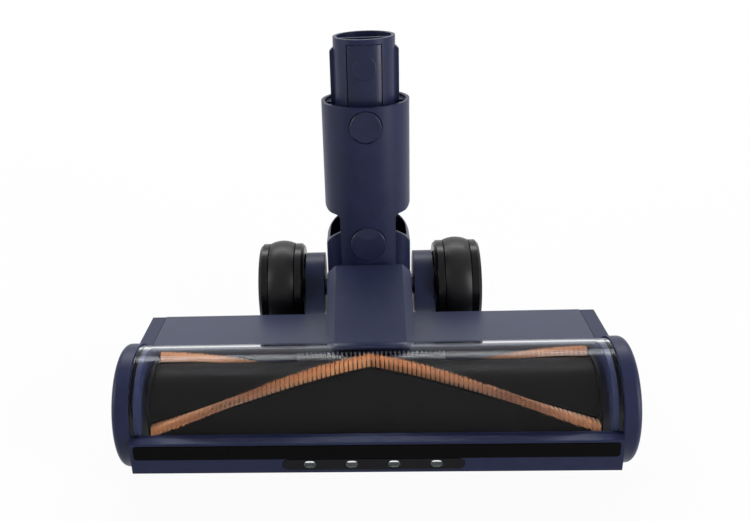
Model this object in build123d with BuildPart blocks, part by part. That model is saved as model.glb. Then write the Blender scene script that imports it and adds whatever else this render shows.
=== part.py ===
"""Motorised roller floor head of a stick vacuum cleaner, millimetres, +Z up, front towards -Y."""

import os
from math import cos, radians, sin, sqrt

from build123d import *

os.makedirs("parts", exist_ok=True)

# Shared walls and clearances
WALL = 2.0
FIT = 0.2
RUN = 0.05
CLEAR = 0.3

# Head: overall width and the places where its mouldings meet, across the width
HEAD_WIDTH = 250.0
CAP_DEPTH = 8.4
TAIL_INSET = 2.6
SEAM_INSET = 10.3
END_WALL = 2.6

# Roller
ROLLER_Z = 27.0
TIP_RADIUS = 26.5
CORE_RADIUS = 20.5
CORE_BORE = 14.0
PLUG_DEPTH = 8.0
ROLLER_END_GAP = 3.0
FLANGE_DEPTH = 1.6
FLANGE_RADIUS = 22.5
STRIP_COUNT = 3
STRIP_WIDTH = 4.5
STRIP_ROOT = 2.5
STRIP_TWIST = 92.0
STRIP_APEX = 101.0
LIP_WIDTH = 1.0
LIP_HEIGHT = 0.6
SHAFT_RADIUS = 4.0
BUSH_RADIUS = 8.0

# Chamber, window and bumper around the roller
CHAMBER_RADIUS = 28.5
WINDOW_RADIUS = 30.0
WINDOW_REAR = 146.0
WINDOW_STEP = 0.4
WINDOW_FLANGE = 5.6
CAP_RADIUS = 31.0
CAP_BOTTOM = 1.2
CAP_ROUND = 3.0
LEDGE_Z = 32.0
LEDGE_Y = -34.0
BUMPER_BOTTOM_Z = 15.3
BUMPER_FRONT_Y = -36.6
STRIP_INSET = 2.0
PAD_LOW = 8.0
PAD_HIGH = 15.5
PAD_DEPTH = 1.6
PAD_PROUD = 0.4
BEZEL_LENGTH = 86.0
BEZEL_LOW = 1.7
BEZEL_HIGH = 7.6
BEZEL_DEPTH = 2.2
BEZEL_PROUD = 0.2
LAMP_COUNT = 4
LAMP_PITCH = 20.0
LAMP_LENGTH = 5.6
LAMP_HEIGHT = 4.0
BOARD_THICK = 1.2
LAMP_GAP = 2.0

# Roof, hump and base
SOLE_Z = 3.0
PART_Z = 26.0
REAR_Y = 63.2
ROOF_REAR_Z = 35.6
HUMP_FRONT_Y = 27.0
HUMP_REAR_Y = 80.3
HUMP_REAR_Z = 56.2
HUMP_HALF = 23.5
HUMP_CHAMFER = 4.7
LIP_FOLLOW = 0.9
MOUTH_LOW = 8.0
MOUTH_HIGH = 40.5
COMB_HALF = 39.0
COMB_PITCH = 2.3
COMB_TOOTH = 0.9
COMB_LOW = 31.5
COMB_BAR = 2.5
COMB_HIGH = 38.5

# Drive
MOTOR_Y = 45.5
MOTOR_Z = 23.5
MOTOR_RADIUS = 12.5
MOTOR_LENGTH = 48.0
MOTOR_GAP = 5.0
MOTOR_SHAFT_RADIUS = 1.6
CAN_WALL = 1.2
AIR_GAP = 0.6
BELL_DEPTH = 7.0
BELL_SEAT = 3.0
ROTOR_PLAY = 2.0
CRADLE_THICK = 3.0
ROLLER_PULLEY_RADIUS = 10.0
MOTOR_PULLEY_RADIUS = 5.0
BELT_WIDTH = 4.0
BELT_THICK = 1.2
BELT_INSET = 1.4

# Wheels, axle pins and arms
WHEEL_BASE = 102.2
WHEEL_RADIUS = 27.6
FLANGE_DROP = 1.8
FLANGE_BEVEL = 1.6
WHEEL_INNER = 38.0
WHEEL_WIDTH = 26.0
TYRE_WIDTH = 14.6
TYRE_DEPTH = 6.0
TYRE_CROWN = 1.7
WHEEL_FLANGE = 5.2
AXLE_RADIUS = 4.0
TRUNNION_RADIUS = 6.0
ARM_INNER = 26.0
ARM_WIDTH = 11.0
BOSS_RADIUS = 20.0
ARM_ROOT_Z = 30.0
ARM_TANGENT = 35.0
ARM_SAG = 3.7
HUB_CAP_RADIUS = 13.0
HUB_CAP_THICK = 3.0
HUB_CAP_BORE = 2.0
WHEEL_DISH = 4.0
SOLE_WHEEL_RADIUS = 5.0
SOLE_WHEEL_WIDTH = 8.0
SOLE_WHEEL_INSET = 17.1
SOLE_WHEEL_Y = 32.0
SOLE_PIN_RADIUS = 1.4
SOLE_PIN_END = 3.0
SCREW_HEAD_RADIUS = 3.0
SCREW_RADIUS = 1.5
SCREW_BOSS_RADIUS = 4.2
SCREW_WALL_GAP = 2.8
SCREW_MOTOR_GAP = 2.9
SCREW_INNER_Y = 42.0
SCREW_OUTER_Y = 54.0
BOARD_GAP = 8.1
BOARD_Y = 48.0
BOARD_LENGTH = 46.0
BOARD_DEPTH = 20.0
POST_INSET = 4.0
POST_HEIGHT = 2.0
CHOKE_RADIUS = 5.0
PLUG_BLOCK = (8.0, 12.0)
PART_HEIGHT = 6.0

# Yoke and neck, measured along the leaning neck axis from the pitch pivot
NECK_LEAN = 10.5
SWIVEL_H = 35.4
YOKE_HALF = 24.0
YOKE_DEPTH = 16.7
YOKE_CORNER = 9.0
YOKE_SHOULDER_H = 31.0
YOKE_INNER_X = 16.0
YOKE_INNER_H = 40.0
YOKE_CREST_X = 9.0
YOKE_CREST_H = 43.5
EAR_BULGE = 0.9
YOKE_DECK_H = 20.0
TRUNNION_WALL = 3.4
PLATE_HALF = 15.5
PLATE_REACH = 21.4
JOIN_ROUND = 2.5
ARCH_RADIUS = 22.6
COLLAR_RADIUS = 24.25
COLLAR_LOW_H = 51.0
COLLAR_ROUND = 4.0
COLLAR_TOP_H = 112.6
RECESS_DEPTH = 1.8
RECESS_WALL = 1.9
SEAT_DEPTH = 14.0
SLOT_HALF = 3.0
SLOT_DEPTH = 8.0
SPIGOT_RADIUS = 16.8
SPIGOT_TOP_H = 146.8
RIB_HEIGHT = 1.9
RIB_HALF = 2.6
RIB_DROP = 5.8
SWIVEL_PIN_RADIUS = 5.0
SWIVEL_BOSS_DEPTH = 3.0
SWIVEL_CAP_RADIUS = 9.8
SWIVEL_CAP_DEPTH = 2.6
SWIVEL_CAP_PROUD = 0.9
FACET_RADIUS = 30.0
FACET_REACH = 8.5
FACET_RISE = 12.0
HOSE_RADIUS = 12.0
HOSE_WALL = 1.5
HOSE_ROOM = 1.1

# Wand latch and terminals
TONGUE_HALF = 9.1
TONGUE_TOP_DROP = 3.1
TONGUE_THICK = 2.2
CATCH_DROP = 15.0
CATCH_RADIUS = 6.0
CATCH_HEIGHT = 1.6
LATCH_TRAVEL = 2.5
BUTTON_DROP = 10.6
BUTTON_RADIUS = 8.6
BUTTON_PROUD = 0.6
DISH_DEPTH = 0.8
POCKET_DEPTH = 8.8
POCKET_WALL = 1.5
SPRING_WIDTH = 5.0
SPRING_THICK = 0.5
SPRING_FOOT = 3.2
SPRING_RUN = 8.0
BLOCK_HALF = 6.4
BLOCK_THICK = 1.6
BLOCK_GAP = 5.6
BLOCK_DROP = 1.2
BLADE_COUNT = 3
BLADE_PITCH = 4.0
BLADE_WIDTH = 1.8
BLADE_THICK = 0.5

# Values worked out from the ones above
HEAD_HALF = HEAD_WIDTH / 2
CAP_FACE = HEAD_HALF - CAP_DEPTH
TAIL_HALF = HEAD_HALF - TAIL_INSET
HOUSING_HALF = HEAD_HALF - SEAM_INSET
BAY_HALF = HOUSING_HALF - END_WALL
CORE_HALF = BAY_HALF - ROLLER_END_GAP
SPAN_HALF = CAP_FACE - FIT
PIVOT_Z = WHEEL_RADIUS
LEAN_SIN = sin(radians(NECK_LEAN))
LEAN_COS = cos(radians(NECK_LEAN))
COLLAR_BACK = COLLAR_TOP_H * LEAN_SIN + COLLAR_RADIUS * LEAN_COS
SPIGOT_BACK = SPIGOT_TOP_H * LEAN_SIN + SPIGOT_RADIUS * LEAN_COS
REACH_BACK = WHEEL_BASE + max(COLLAR_BACK, SPIGOT_BACK, WHEEL_RADIUS)
ROLLER_Y = -(BUMPER_FRONT_Y + REACH_BACK) / 2
PIVOT_Y = ROLLER_Y + WHEEL_BASE
SOLE_TOP = SOLE_Z + WALL
DUCT_HALF = HUMP_HALF - WALL
LIP_Y = -WINDOW_RADIUS * cos(radians(WINDOW_REAR))
LIP_Z = ROLLER_Z + WINDOW_RADIUS * sin(radians(WINDOW_REAR))
ROOF_SLOPE = (ROOF_REAR_Z - LIP_Z) / (REAR_Y - LIP_Y)
HUMP_SLOPE = (HUMP_REAR_Z - LIP_Z) / (HUMP_REAR_Y - HUMP_FRONT_Y)
BELT_X = TAIL_HALF - WALL - BELT_INSET / 2
MOTOR_END = BAY_HALF - MOTOR_GAP - MOTOR_LENGTH
SCREW_INNER_X = HUMP_HALF + SCREW_BOSS_RADIUS + SCREW_WALL_GAP
SCREW_OUTER_X = MOTOR_END - SCREW_BOSS_RADIUS - SCREW_MOTOR_GAP
BOARD_X = BAY_HALF - BOARD_GAP - BOARD_LENGTH / 2
SOLE_WHEEL_X = BAY_HALF - SOLE_WHEEL_INSET
FAR = 4 * CAP_RADIUS
WHEEL_OUTER = WHEEL_INNER + WHEEL_WIDTH
ARM_OUTER = ARM_INNER + ARM_WIDTH
SPIGOT_BORE = SPIGOT_RADIUS - WALL
RECESS_FLOOR = COLLAR_TOP_H - RECESS_DEPTH
SEAT_H = RECESS_FLOOR - SEAT_DEPTH
TONGUE_TOP_H = SPIGOT_TOP_H - TONGUE_TOP_DROP
TONGUE_LOW_H = SEAT_H + 2 * CLEAR
CATCH_H = SPIGOT_TOP_H - CATCH_DROP
BUTTON_H = COLLAR_TOP_H - BUTTON_DROP
SPRING_H = SEAT_H + SPRING_FOOT
SPRING_TOP_H = SPRING_H + 2 * SPRING_RUN
BLOCK_TOP_H = SPIGOT_TOP_H - BLOCK_DROP
BLOCK_LENGTH = BLOCK_TOP_H - SPRING_TOP_H - BLOCK_GAP
BUTTON_FACE = COLLAR_RADIUS + BUTTON_PROUD
DISH_REACH = BUTTON_RADIUS - 2 * BUTTON_PROUD
DISH_RADIUS = (DISH_REACH**2 + DISH_DEPTH**2) / (2 * DISH_DEPTH)

# Planes: side profiles (Y, Z) run along X; neck planes lean with the neck
SIDE = Plane(origin=(0, ROLLER_Y, 0), x_dir=(0, 1, 0), z_dir=(1, 0, 0))
FLOOR = Plane(origin=(0, ROLLER_Y, 0), x_dir=(1, 0, 0), z_dir=(0, 0, 1))
NECK = Plane(origin=(0, PIVOT_Y, PIVOT_Z), x_dir=(1, 0, 0), z_dir=(0, LEAN_SIN, LEAN_COS))
NECK_FRONT = Plane(NECK.origin, x_dir=(1, 0, 0), z_dir=(0, -LEAN_COS, LEAN_SIN))
NECK_SIDE = Plane(NECK.origin, x_dir=(0, LEAN_COS, -LEAN_SIN), z_dir=(1, 0, 0))
FACE_LENGTH = sqrt((LEDGE_Y - BUMPER_FRONT_Y) ** 2 + (LEDGE_Z - BUMPER_BOTTOM_Z) ** 2)
FACE_UP = Vector(0, LEDGE_Y - BUMPER_FRONT_Y, LEDGE_Z - BUMPER_BOTTOM_Z) / FACE_LENGTH
FACE = Plane(
    origin=(0, ROLLER_Y + BUMPER_FRONT_Y, BUMPER_BOTTOM_Z),
    x_dir=(1, 0, 0),
    z_dir=Vector(1, 0, 0).cross(FACE_UP),
)
NECK_FRONT_AXIS = Axis(NECK.origin, NECK_FRONT.z_dir)
SIDES = {"left": -1, "right": 1}


def polygon(*points, mode=Mode.ADD):
    """Fills the outline through the points, in the open sketch."""
    Polygon(*points, align=None, mode=mode)


def disc(centre, radius, mode=Mode.ADD):
    """Draws a circle about a centre, in the open sketch."""
    with Locations(centre):
        Circle(radius, mode=mode)


def save(piece, label):
    """Labels a finished piece and writes its file."""
    piece.part.label = label
    export_step(piece.part, f"parts/{label}.step")


def roof_z(y, drop=0.0):
    """Height of the sloping roof at a distance behind the roller axis."""
    return LIP_Z + (y - LIP_Y) * ROOF_SLOPE - drop


def hump_z(y, drop=0.0):
    """Height of the hump's top at a distance behind the roller axis."""
    return LIP_Z + (y - HUMP_FRONT_Y) * HUMP_SLOPE - drop


ROLLER_CENTRE = (0, ROLLER_Z)
PIVOT_CENTRE = (WHEEL_BASE, PIVOT_Z)
HOSE_CENTRE = (0, PART_Z)
SCREW_PAIR = ((SCREW_INNER_X, SCREW_INNER_Y), (SCREW_OUTER_X, SCREW_OUTER_Y))
SCREW_SPOTS = [(side * x, y) for side in SIDES.values() for x, y in SCREW_PAIR]

# Base housing: brush chamber wall, sole, motor bays and the front half of the duct floor
with BuildPart() as base_housing:
    with BuildSketch(SIDE):
        polygon((0, SOLE_Z), (REAR_Y, SOLE_Z), (REAR_Y, PART_Z), (0, PART_Z))
        disc(ROLLER_CENTRE, CHAMBER_RADIUS, Mode.SUBTRACT)
    extrude(amount=HOUSING_HALF, both=True)
    for bay_side in SIDES.values():
        with BuildSketch(SIDE.offset(bay_side * HUMP_HALF)):
            polygon(
                (0, SOLE_TOP),
                (REAR_Y - WALL, SOLE_TOP),
                (REAR_Y - WALL, PART_Z),
                (0, PART_Z),
            )
            disc(ROLLER_CENTRE, CHAMBER_RADIUS + WALL, Mode.SUBTRACT)
        extrude(amount=bay_side * (BAY_HALF - HUMP_HALF), mode=Mode.SUBTRACT)
        with BuildSketch(SIDE.offset(bay_side * BAY_HALF)):
            disc(ROLLER_CENTRE, CHAMBER_RADIUS - WINDOW_STEP - CLEAR)
            polygon((0, SOLE_Z), (REAR_Y, SOLE_Z), (REAR_Y, PART_Z), (0, PART_Z))
            with Locations((0, SOLE_Z)):
                Rectangle(FAR, FAR, align=(Align.CENTER, Align.MAX), mode=Mode.SUBTRACT)
        extrude(amount=bay_side * END_WALL)
    with BuildSketch(SIDE):
        polygon(
            (0, SOLE_TOP),
            (REAR_Y, SOLE_TOP),
            (REAR_Y, PART_Z),
            (0, PART_Z),
        )
        disc(ROLLER_CENTRE, CHAMBER_RADIUS + WALL, Mode.SUBTRACT)
    extrude(amount=DUCT_HALF, both=True, mode=Mode.SUBTRACT)
    with BuildSketch(SIDE):
        polygon((0, MOUTH_LOW), (REAR_Y / 2 + WALL, MOUTH_LOW), (REAR_Y / 2 + WALL, PART_Z), (0, PART_Z))
    extrude(amount=DUCT_HALF, both=True, mode=Mode.SUBTRACT)
    for cradle_x in (MOTOR_GAP + 2 * CRADLE_THICK, MOTOR_LENGTH - 2 * CRADLE_THICK):
        with BuildSketch(SIDE.offset(cradle_x - BAY_HALF)):
            with Locations((MOTOR_Y, SOLE_TOP)):
                Rectangle(
                    2 * MOTOR_RADIUS + WALL,
                    MOTOR_Z - SOLE_TOP,
                    align=(Align.CENTER, Align.MIN),
                )
            disc((MOTOR_Y, MOTOR_Z), MOTOR_RADIUS + RUN, Mode.SUBTRACT)
            disc(ROLLER_CENTRE, CHAMBER_RADIUS, Mode.SUBTRACT)
        extrude(amount=CRADLE_THICK)
    with BuildSketch(FLOOR.offset(SOLE_Z)):
        with Locations(*SCREW_SPOTS):
            Circle(SCREW_BOSS_RADIUS)
    extrude(amount=PART_Z - SOLE_Z)
    with BuildSketch(FLOOR.offset(SOLE_Z)):
        with Locations(*SCREW_SPOTS):
            Circle(SCREW_HEAD_RADIUS + FIT)
    extrude(amount=WALL + FIT, mode=Mode.SUBTRACT)
    with BuildSketch(FLOOR.offset(SOLE_Z)):
        with Locations(*SCREW_SPOTS):
            Circle(SCREW_RADIUS + RUN)
    extrude(amount=PART_Z - SOLE_Z, mode=Mode.SUBTRACT)
    for caster_side in SIDES.values():
        with BuildSketch(FLOOR.offset(SOLE_Z)):
            with Locations((caster_side * SOLE_WHEEL_X, SOLE_WHEEL_Y)):
                Rectangle(
                    SOLE_WHEEL_WIDTH + 4 * WALL,
                    4 * SOLE_PIN_RADIUS,
                )
        extrude(amount=SOLE_WHEEL_RADIUS + 2 * SOLE_PIN_RADIUS - SOLE_Z)
        with BuildSketch(FLOOR.offset(SOLE_Z)):
            with Locations((caster_side * SOLE_WHEEL_X, SOLE_WHEEL_Y)):
                Rectangle(
                    SOLE_WHEEL_WIDTH + 4 * CLEAR,
                    2 * SOLE_WHEEL_RADIUS + 4 * CLEAR,
                )
        extrude(amount=2 * SOLE_WHEEL_RADIUS + CLEAR - SOLE_Z, mode=Mode.SUBTRACT)
        with BuildSketch(SIDE.offset(caster_side * SOLE_WHEEL_X)):
            disc((SOLE_WHEEL_Y, SOLE_WHEEL_RADIUS), SOLE_PIN_RADIUS)
        extrude(amount=SOLE_WHEEL_WIDTH / 2 + SOLE_PIN_END, both=True, mode=Mode.SUBTRACT)
        with BuildSketch(SIDE.offset(caster_side * BAY_HALF)):
            disc(ROLLER_CENTRE, BUSH_RADIUS)
        extrude(amount=caster_side * END_WALL, mode=Mode.SUBTRACT)
    with BuildSketch(SIDE.offset(-BAY_HALF)):
        disc((MOTOR_Y, MOTOR_Z), 2 * MOTOR_SHAFT_RADIUS)
    extrude(amount=-END_WALL, mode=Mode.SUBTRACT)
save(base_housing, "base_housing")

# Rear chassis: two wheel arms, the sole plate between them and the rear half of the duct
with BuildPart() as rear_chassis:
    for arm_side in SIDES.values():
        with BuildSketch(SIDE.offset(arm_side * ARM_INNER)):
            disc(PIVOT_CENTRE, BOSS_RADIUS)
            with BuildLine():
                boss_low = (WHEEL_BASE, PIVOT_Z - BOSS_RADIUS)
                boss_high = (
                    WHEEL_BASE - BOSS_RADIUS * cos(radians(ARM_TANGENT)),
                    PIVOT_Z + BOSS_RADIUS * sin(radians(ARM_TANGENT)),
                )
                root_high = (REAR_Y, ARM_ROOT_Z)
                Polyline(root_high, (REAR_Y, SOLE_Z), (REAR_Y + ARM_INNER, SOLE_Z), boss_low, boss_high)
                sag = (
                    (root_high[0] + boss_high[0]) / 2,
                    (root_high[1] + boss_high[1]) / 2 - ARM_SAG,
                )
                ThreePointArc(boss_high, sag, root_high)
            make_face()
        extrude(amount=arm_side * ARM_WIDTH)
    with BuildSketch(SIDE):
        polygon((REAR_Y, SOLE_Z), (HUMP_REAR_Y, SOLE_Z), (HUMP_REAR_Y, PART_Z), (REAR_Y, PART_Z))
    extrude(amount=HUMP_HALF, both=True)
    with BuildSketch(SIDE):
        polygon(
            (REAR_Y, SOLE_Z),
            (REAR_Y + ARM_INNER, SOLE_Z),
            (REAR_Y + ARM_INNER, SOLE_TOP),
            (REAR_Y, SOLE_TOP),
        )
    extrude(amount=ARM_OUTER, both=True)
    with BuildSketch(SIDE):
        polygon(
            (REAR_Y, SOLE_TOP),
            (HUMP_REAR_Y - WALL, SOLE_TOP),
            (HUMP_REAR_Y - WALL, PART_Z),
            (REAR_Y, PART_Z),
        )
    extrude(amount=DUCT_HALF, both=True, mode=Mode.SUBTRACT)
    with BuildSketch(Plane.XZ.offset(-ROLLER_Y - HUMP_REAR_Y)):
        disc(HOSE_CENTRE, HOSE_RADIUS + RUN)
    extrude(amount=2 * WALL, mode=Mode.SUBTRACT)
    with BuildSketch(SIDE):
        disc(PIVOT_CENTRE, TRUNNION_RADIUS)
    extrude(amount=ARM_OUTER, both=True, mode=Mode.SUBTRACT)
save(rear_chassis, "rear_chassis")

# Hump over the suction duct, chamfered along its top edges, outside and inside
with BuildPart() as hump:
    with BuildSketch(SIDE):
        polygon(
            (HUMP_FRONT_Y, PART_Z),
            (HUMP_REAR_Y, PART_Z),
            (HUMP_REAR_Y, HUMP_REAR_Z),
            (HUMP_FRONT_Y, LIP_Z),
        )
    extrude(amount=HUMP_HALF, both=True)
    hump_top = hump.faces().sort_by(Axis.Z)[-1]
    chamfer([edge for edge in hump_top.edges() if abs(edge.center().X) > HUMP_HALF / 2], HUMP_CHAMFER)

with BuildPart() as hump_void:
    with BuildSketch(SIDE):
        polygon(
            (HUMP_FRONT_Y, PART_Z),
            (HUMP_REAR_Y - WALL, PART_Z),
            (HUMP_REAR_Y - WALL, hump_z(HUMP_REAR_Y - WALL, WALL)),
            (HUMP_FRONT_Y, roof_z(HUMP_FRONT_Y, WALL)),
        )
        disc(ROLLER_CENTRE, CHAMBER_RADIUS + WALL, Mode.SUBTRACT)
    extrude(amount=DUCT_HALF, both=True)
    void_top = hump_void.faces().sort_by(Axis.Z)[-1]
    chamfer([edge for edge in void_top.edges() if abs(edge.center().X) > DUCT_HALF / 2], HUMP_CHAMFER)

# Top housing: sloping roof over the bays and the hump over the suction duct
with BuildPart() as top_housing:
    with BuildSketch(SIDE):
        polygon(
            (0, PART_Z),
            (REAR_Y, PART_Z),
            (REAR_Y, ROOF_REAR_Z),
            (LIP_Y, LIP_Z),
            (LIP_Y * LIP_FOLLOW, ROLLER_Z + (LIP_Z - ROLLER_Z) * LIP_FOLLOW),
        )
    extrude(amount=HOUSING_HALF, both=True)
    roof_rear = top_housing.edges().filter_by(Axis.X).group_by(Axis.Y)[-1].sort_by(Axis.Z)[-1]
    fillet(roof_rear, WALL / 2)
    add(hump.part)
    with BuildSketch(SIDE):
        disc(ROLLER_CENTRE, CHAMBER_RADIUS)
    extrude(amount=HEAD_HALF, both=True, mode=Mode.SUBTRACT)
    for bay_side in SIDES.values():
        with BuildSketch(SIDE.offset(bay_side * HUMP_HALF)):
            polygon(
                (0, PART_Z),
                (REAR_Y - WALL, PART_Z),
                (REAR_Y - WALL, roof_z(REAR_Y - WALL, WALL)),
                (0, roof_z(0, WALL)),
            )
            disc(ROLLER_CENTRE, CHAMBER_RADIUS + WALL, Mode.SUBTRACT)
        extrude(amount=bay_side * (BAY_HALF - HUMP_HALF), mode=Mode.SUBTRACT)
    add(hump_void.part, mode=Mode.SUBTRACT)
    with BuildSketch(SIDE):
        polygon((0, PART_Z), (REAR_Y / 2 + WALL, PART_Z), (REAR_Y / 2 + WALL, MOUTH_HIGH), (0, MOUTH_HIGH))
    extrude(amount=DUCT_HALF - HUMP_CHAMFER, both=True, mode=Mode.SUBTRACT)
    with BuildSketch(Plane.XZ.offset(-ROLLER_Y - HUMP_REAR_Y)):
        disc(HOSE_CENTRE, HOSE_RADIUS + RUN)
    extrude(amount=2 * WALL, mode=Mode.SUBTRACT)
save(top_housing, "top_housing")

# Side covers: round cap over the roller's end, hollow tail along the end of the roof
for side_name, side in SIDES.items():
    with BuildPart() as side_cover:
        with BuildSketch(SIDE.offset(side * CAP_FACE)):
            disc(ROLLER_CENTRE, CAP_RADIUS)
            with Locations((0, CAP_BOTTOM)):
                Rectangle(FAR, FAR, align=(Align.CENTER, Align.MAX), mode=Mode.SUBTRACT)
        extrude(amount=side * CAP_DEPTH)
        cap_end = side_cover.faces().sort_by(Axis.X)[-1 if side > 0 else 0]
        fillet(cap_end.edges(), CAP_ROUND)
        with BuildSketch(SIDE.offset(side * (HOUSING_HALF + FIT))):
            polygon(
                (0, SOLE_Z),
                (REAR_Y, SOLE_Z),
                (REAR_Y, ROOF_REAR_Z),
                (LIP_Y, LIP_Z),
                (0, LIP_Z),
            )
        extrude(amount=side * (TAIL_HALF - HOUSING_HALF - FIT))
        with BuildSketch(SIDE.offset(side * (HOUSING_HALF + FIT))):
            disc(ROLLER_CENTRE, WINDOW_RADIUS + FIT)
        extrude(amount=side * (CAP_FACE - HOUSING_HALF - FIT), mode=Mode.SUBTRACT)
        tail_edges = side_cover.edges().filter_by(Axis.X).group_by(Axis.Y)[-1]
        fillet(tail_edges, WALL)
        with BuildSketch(SIDE.offset(side * (HOUSING_HALF + FIT))):
            polygon(
                (0, SOLE_TOP),
                (REAR_Y - WALL, SOLE_TOP),
                (REAR_Y - WALL, roof_z(REAR_Y - WALL, WALL)),
                (LIP_Y, roof_z(LIP_Y, WALL)),
                (0, LIP_Z - WALL),
            )
        extrude(amount=side * (TAIL_HALF - HOUSING_HALF - FIT - WALL), mode=Mode.SUBTRACT)
        with BuildSketch(SIDE.offset(side * CAP_FACE)):
            disc(ROLLER_CENTRE, CHAMBER_RADIUS)
            with Locations((0, CAP_BOTTOM + WALL)):
                Rectangle(FAR, FAR, align=(Align.CENTER, Align.MAX), mode=Mode.SUBTRACT)
        extrude(amount=side * (CAP_DEPTH - WALL), mode=Mode.SUBTRACT)
    save(side_cover, f"{side_name}_side_cover")

# Clear roller window: curved shell with a thicker flange at each end
with BuildPart() as roller_window:
    with BuildSketch(SIDE):
        disc(ROLLER_CENTRE, WINDOW_RADIUS)
        disc(ROLLER_CENTRE, CHAMBER_RADIUS, Mode.SUBTRACT)
        polygon(
            (0, ROLLER_Z),
            (2 * LIP_Y, 2 * LIP_Z - ROLLER_Z),
            (FAR, -FAR),
            (-FAR, -FAR),
            (-FAR, LEDGE_Z),
            (0, LEDGE_Z),
            mode=Mode.SUBTRACT,
        )
    extrude(amount=SPAN_HALF, both=True)
    for side in SIDES.values():
        with BuildSketch(SIDE.offset(side * (SPAN_HALF - WINDOW_FLANGE))):
            disc(ROLLER_CENTRE, CHAMBER_RADIUS)
            disc(ROLLER_CENTRE, CHAMBER_RADIUS - WINDOW_STEP, Mode.SUBTRACT)
            polygon(
                (0, ROLLER_Z),
                (2 * LIP_Y, 2 * LIP_Z - ROLLER_Z),
                (FAR, -FAR),
                (-FAR, -FAR),
                (-FAR, LEDGE_Z),
                (0, LEDGE_Z),
                mode=Mode.SUBTRACT,
            )
        extrude(amount=side * WINDOW_FLANGE)
save(roller_window, "roller_window")

# Front bumper: leaning face with a recess for the soft pad and one for the lamp bezel
LAMP_SPOTS = [((k - (LAMP_COUNT - 1) / 2) * LAMP_PITCH, (BEZEL_LOW + BEZEL_HIGH) / 2) for k in range(LAMP_COUNT)]
BEZEL_MIDDLE = (0, (BEZEL_LOW + BEZEL_HIGH) / 2)
BEZEL_HEIGHT = BEZEL_HIGH - BEZEL_LOW
PAD_MIDDLE = (0, (PAD_LOW + PAD_HIGH) / 2)
PAD_LENGTH = 2 * (SPAN_HALF - STRIP_INSET)
with BuildPart() as front_bumper:
    with BuildSketch(SIDE):
        polygon(
            (0, LEDGE_Z),
            (LEDGE_Y, LEDGE_Z),
            (BUMPER_FRONT_Y, BUMPER_BOTTOM_Z),
            (0, BUMPER_BOTTOM_Z),
        )
        disc(ROLLER_CENTRE, CHAMBER_RADIUS - WINDOW_STEP, Mode.SUBTRACT)
    extrude(amount=SPAN_HALF, both=True)
    fillet(front_bumper.edges().filter_by(Axis.X).group_by(Axis.Z)[-1].sort_by(Axis.Y)[0], PAD_PROUD)
    with BuildSketch(FACE):
        with Locations(PAD_MIDDLE):
            RectangleRounded(PAD_LENGTH + 2 * FIT, PAD_HIGH - PAD_LOW + 2 * FIT, PAD_DEPTH)
    extrude(amount=-PAD_DEPTH, mode=Mode.SUBTRACT)
    with BuildSketch(FACE):
        with Locations(BEZEL_MIDDLE):
            SlotOverall(BEZEL_LENGTH + 2 * FIT, BEZEL_HEIGHT + 2 * FIT)
    extrude(amount=-BEZEL_DEPTH, mode=Mode.SUBTRACT)
    with BuildSketch(FACE):
        with Locations(BEZEL_MIDDLE):
            Rectangle(BEZEL_LENGTH - BEZEL_HEIGHT, BEZEL_HEIGHT - WALL / 2)
    extrude(amount=-BEZEL_DEPTH - LAMP_GAP - BOARD_THICK, mode=Mode.SUBTRACT)
save(front_bumper, "front_bumper")

# Soft pad along the bumper
with BuildPart() as bumper_pad:
    with BuildSketch(FACE.offset(-PAD_DEPTH)):
        with Locations(PAD_MIDDLE):
            RectangleRounded(PAD_LENGTH, PAD_HIGH - PAD_LOW, PAD_DEPTH - FIT)
    extrude(amount=PAD_DEPTH + PAD_PROUD)
    fillet(bumper_pad.faces().sort_by(Axis.Y)[0].edges(), PAD_PROUD)
save(bumper_pad, "bumper_pad")

# Smoked lamp bezel with a window for each lamp
with BuildPart() as lamp_bezel:
    with BuildSketch(FACE.offset(-BEZEL_DEPTH)):
        with Locations(BEZEL_MIDDLE):
            SlotOverall(BEZEL_LENGTH, BEZEL_HEIGHT)
        with Locations(*LAMP_SPOTS):
            SlotOverall(LAMP_LENGTH + 2 * RUN, LAMP_HEIGHT + 2 * RUN, mode=Mode.SUBTRACT)
    extrude(amount=BEZEL_DEPTH + BEZEL_PROUD)
save(lamp_bezel, "lamp_bezel")

# Clear lamp lenses
with BuildPart() as lamp_lenses:
    with BuildSketch(FACE.offset(-BEZEL_DEPTH)):
        with Locations(*LAMP_SPOTS):
            SlotOverall(LAMP_LENGTH, LAMP_HEIGHT)
    extrude(amount=BEZEL_DEPTH)
save(lamp_lenses, "lamp_lenses")

# Lamp board with one emitter behind each lens
with BuildPart() as lamp_board:
    with BuildSketch(FACE.offset(-BEZEL_DEPTH - LAMP_GAP - BOARD_THICK)):
        with Locations(BEZEL_MIDDLE):
            Rectangle(BEZEL_LENGTH - BEZEL_HEIGHT - 2 * FIT, BEZEL_HEIGHT - WALL / 2 - 2 * FIT)
    extrude(amount=BOARD_THICK)
    with BuildSketch(FACE.offset(-BEZEL_DEPTH - LAMP_GAP)):
        with Locations(*LAMP_SPOTS):
            Rectangle(LAMP_LENGTH / 2, LAMP_HEIGHT / 2)
    extrude(amount=LAMP_GAP / 2)
save(lamp_board, "lamp_board")

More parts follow.
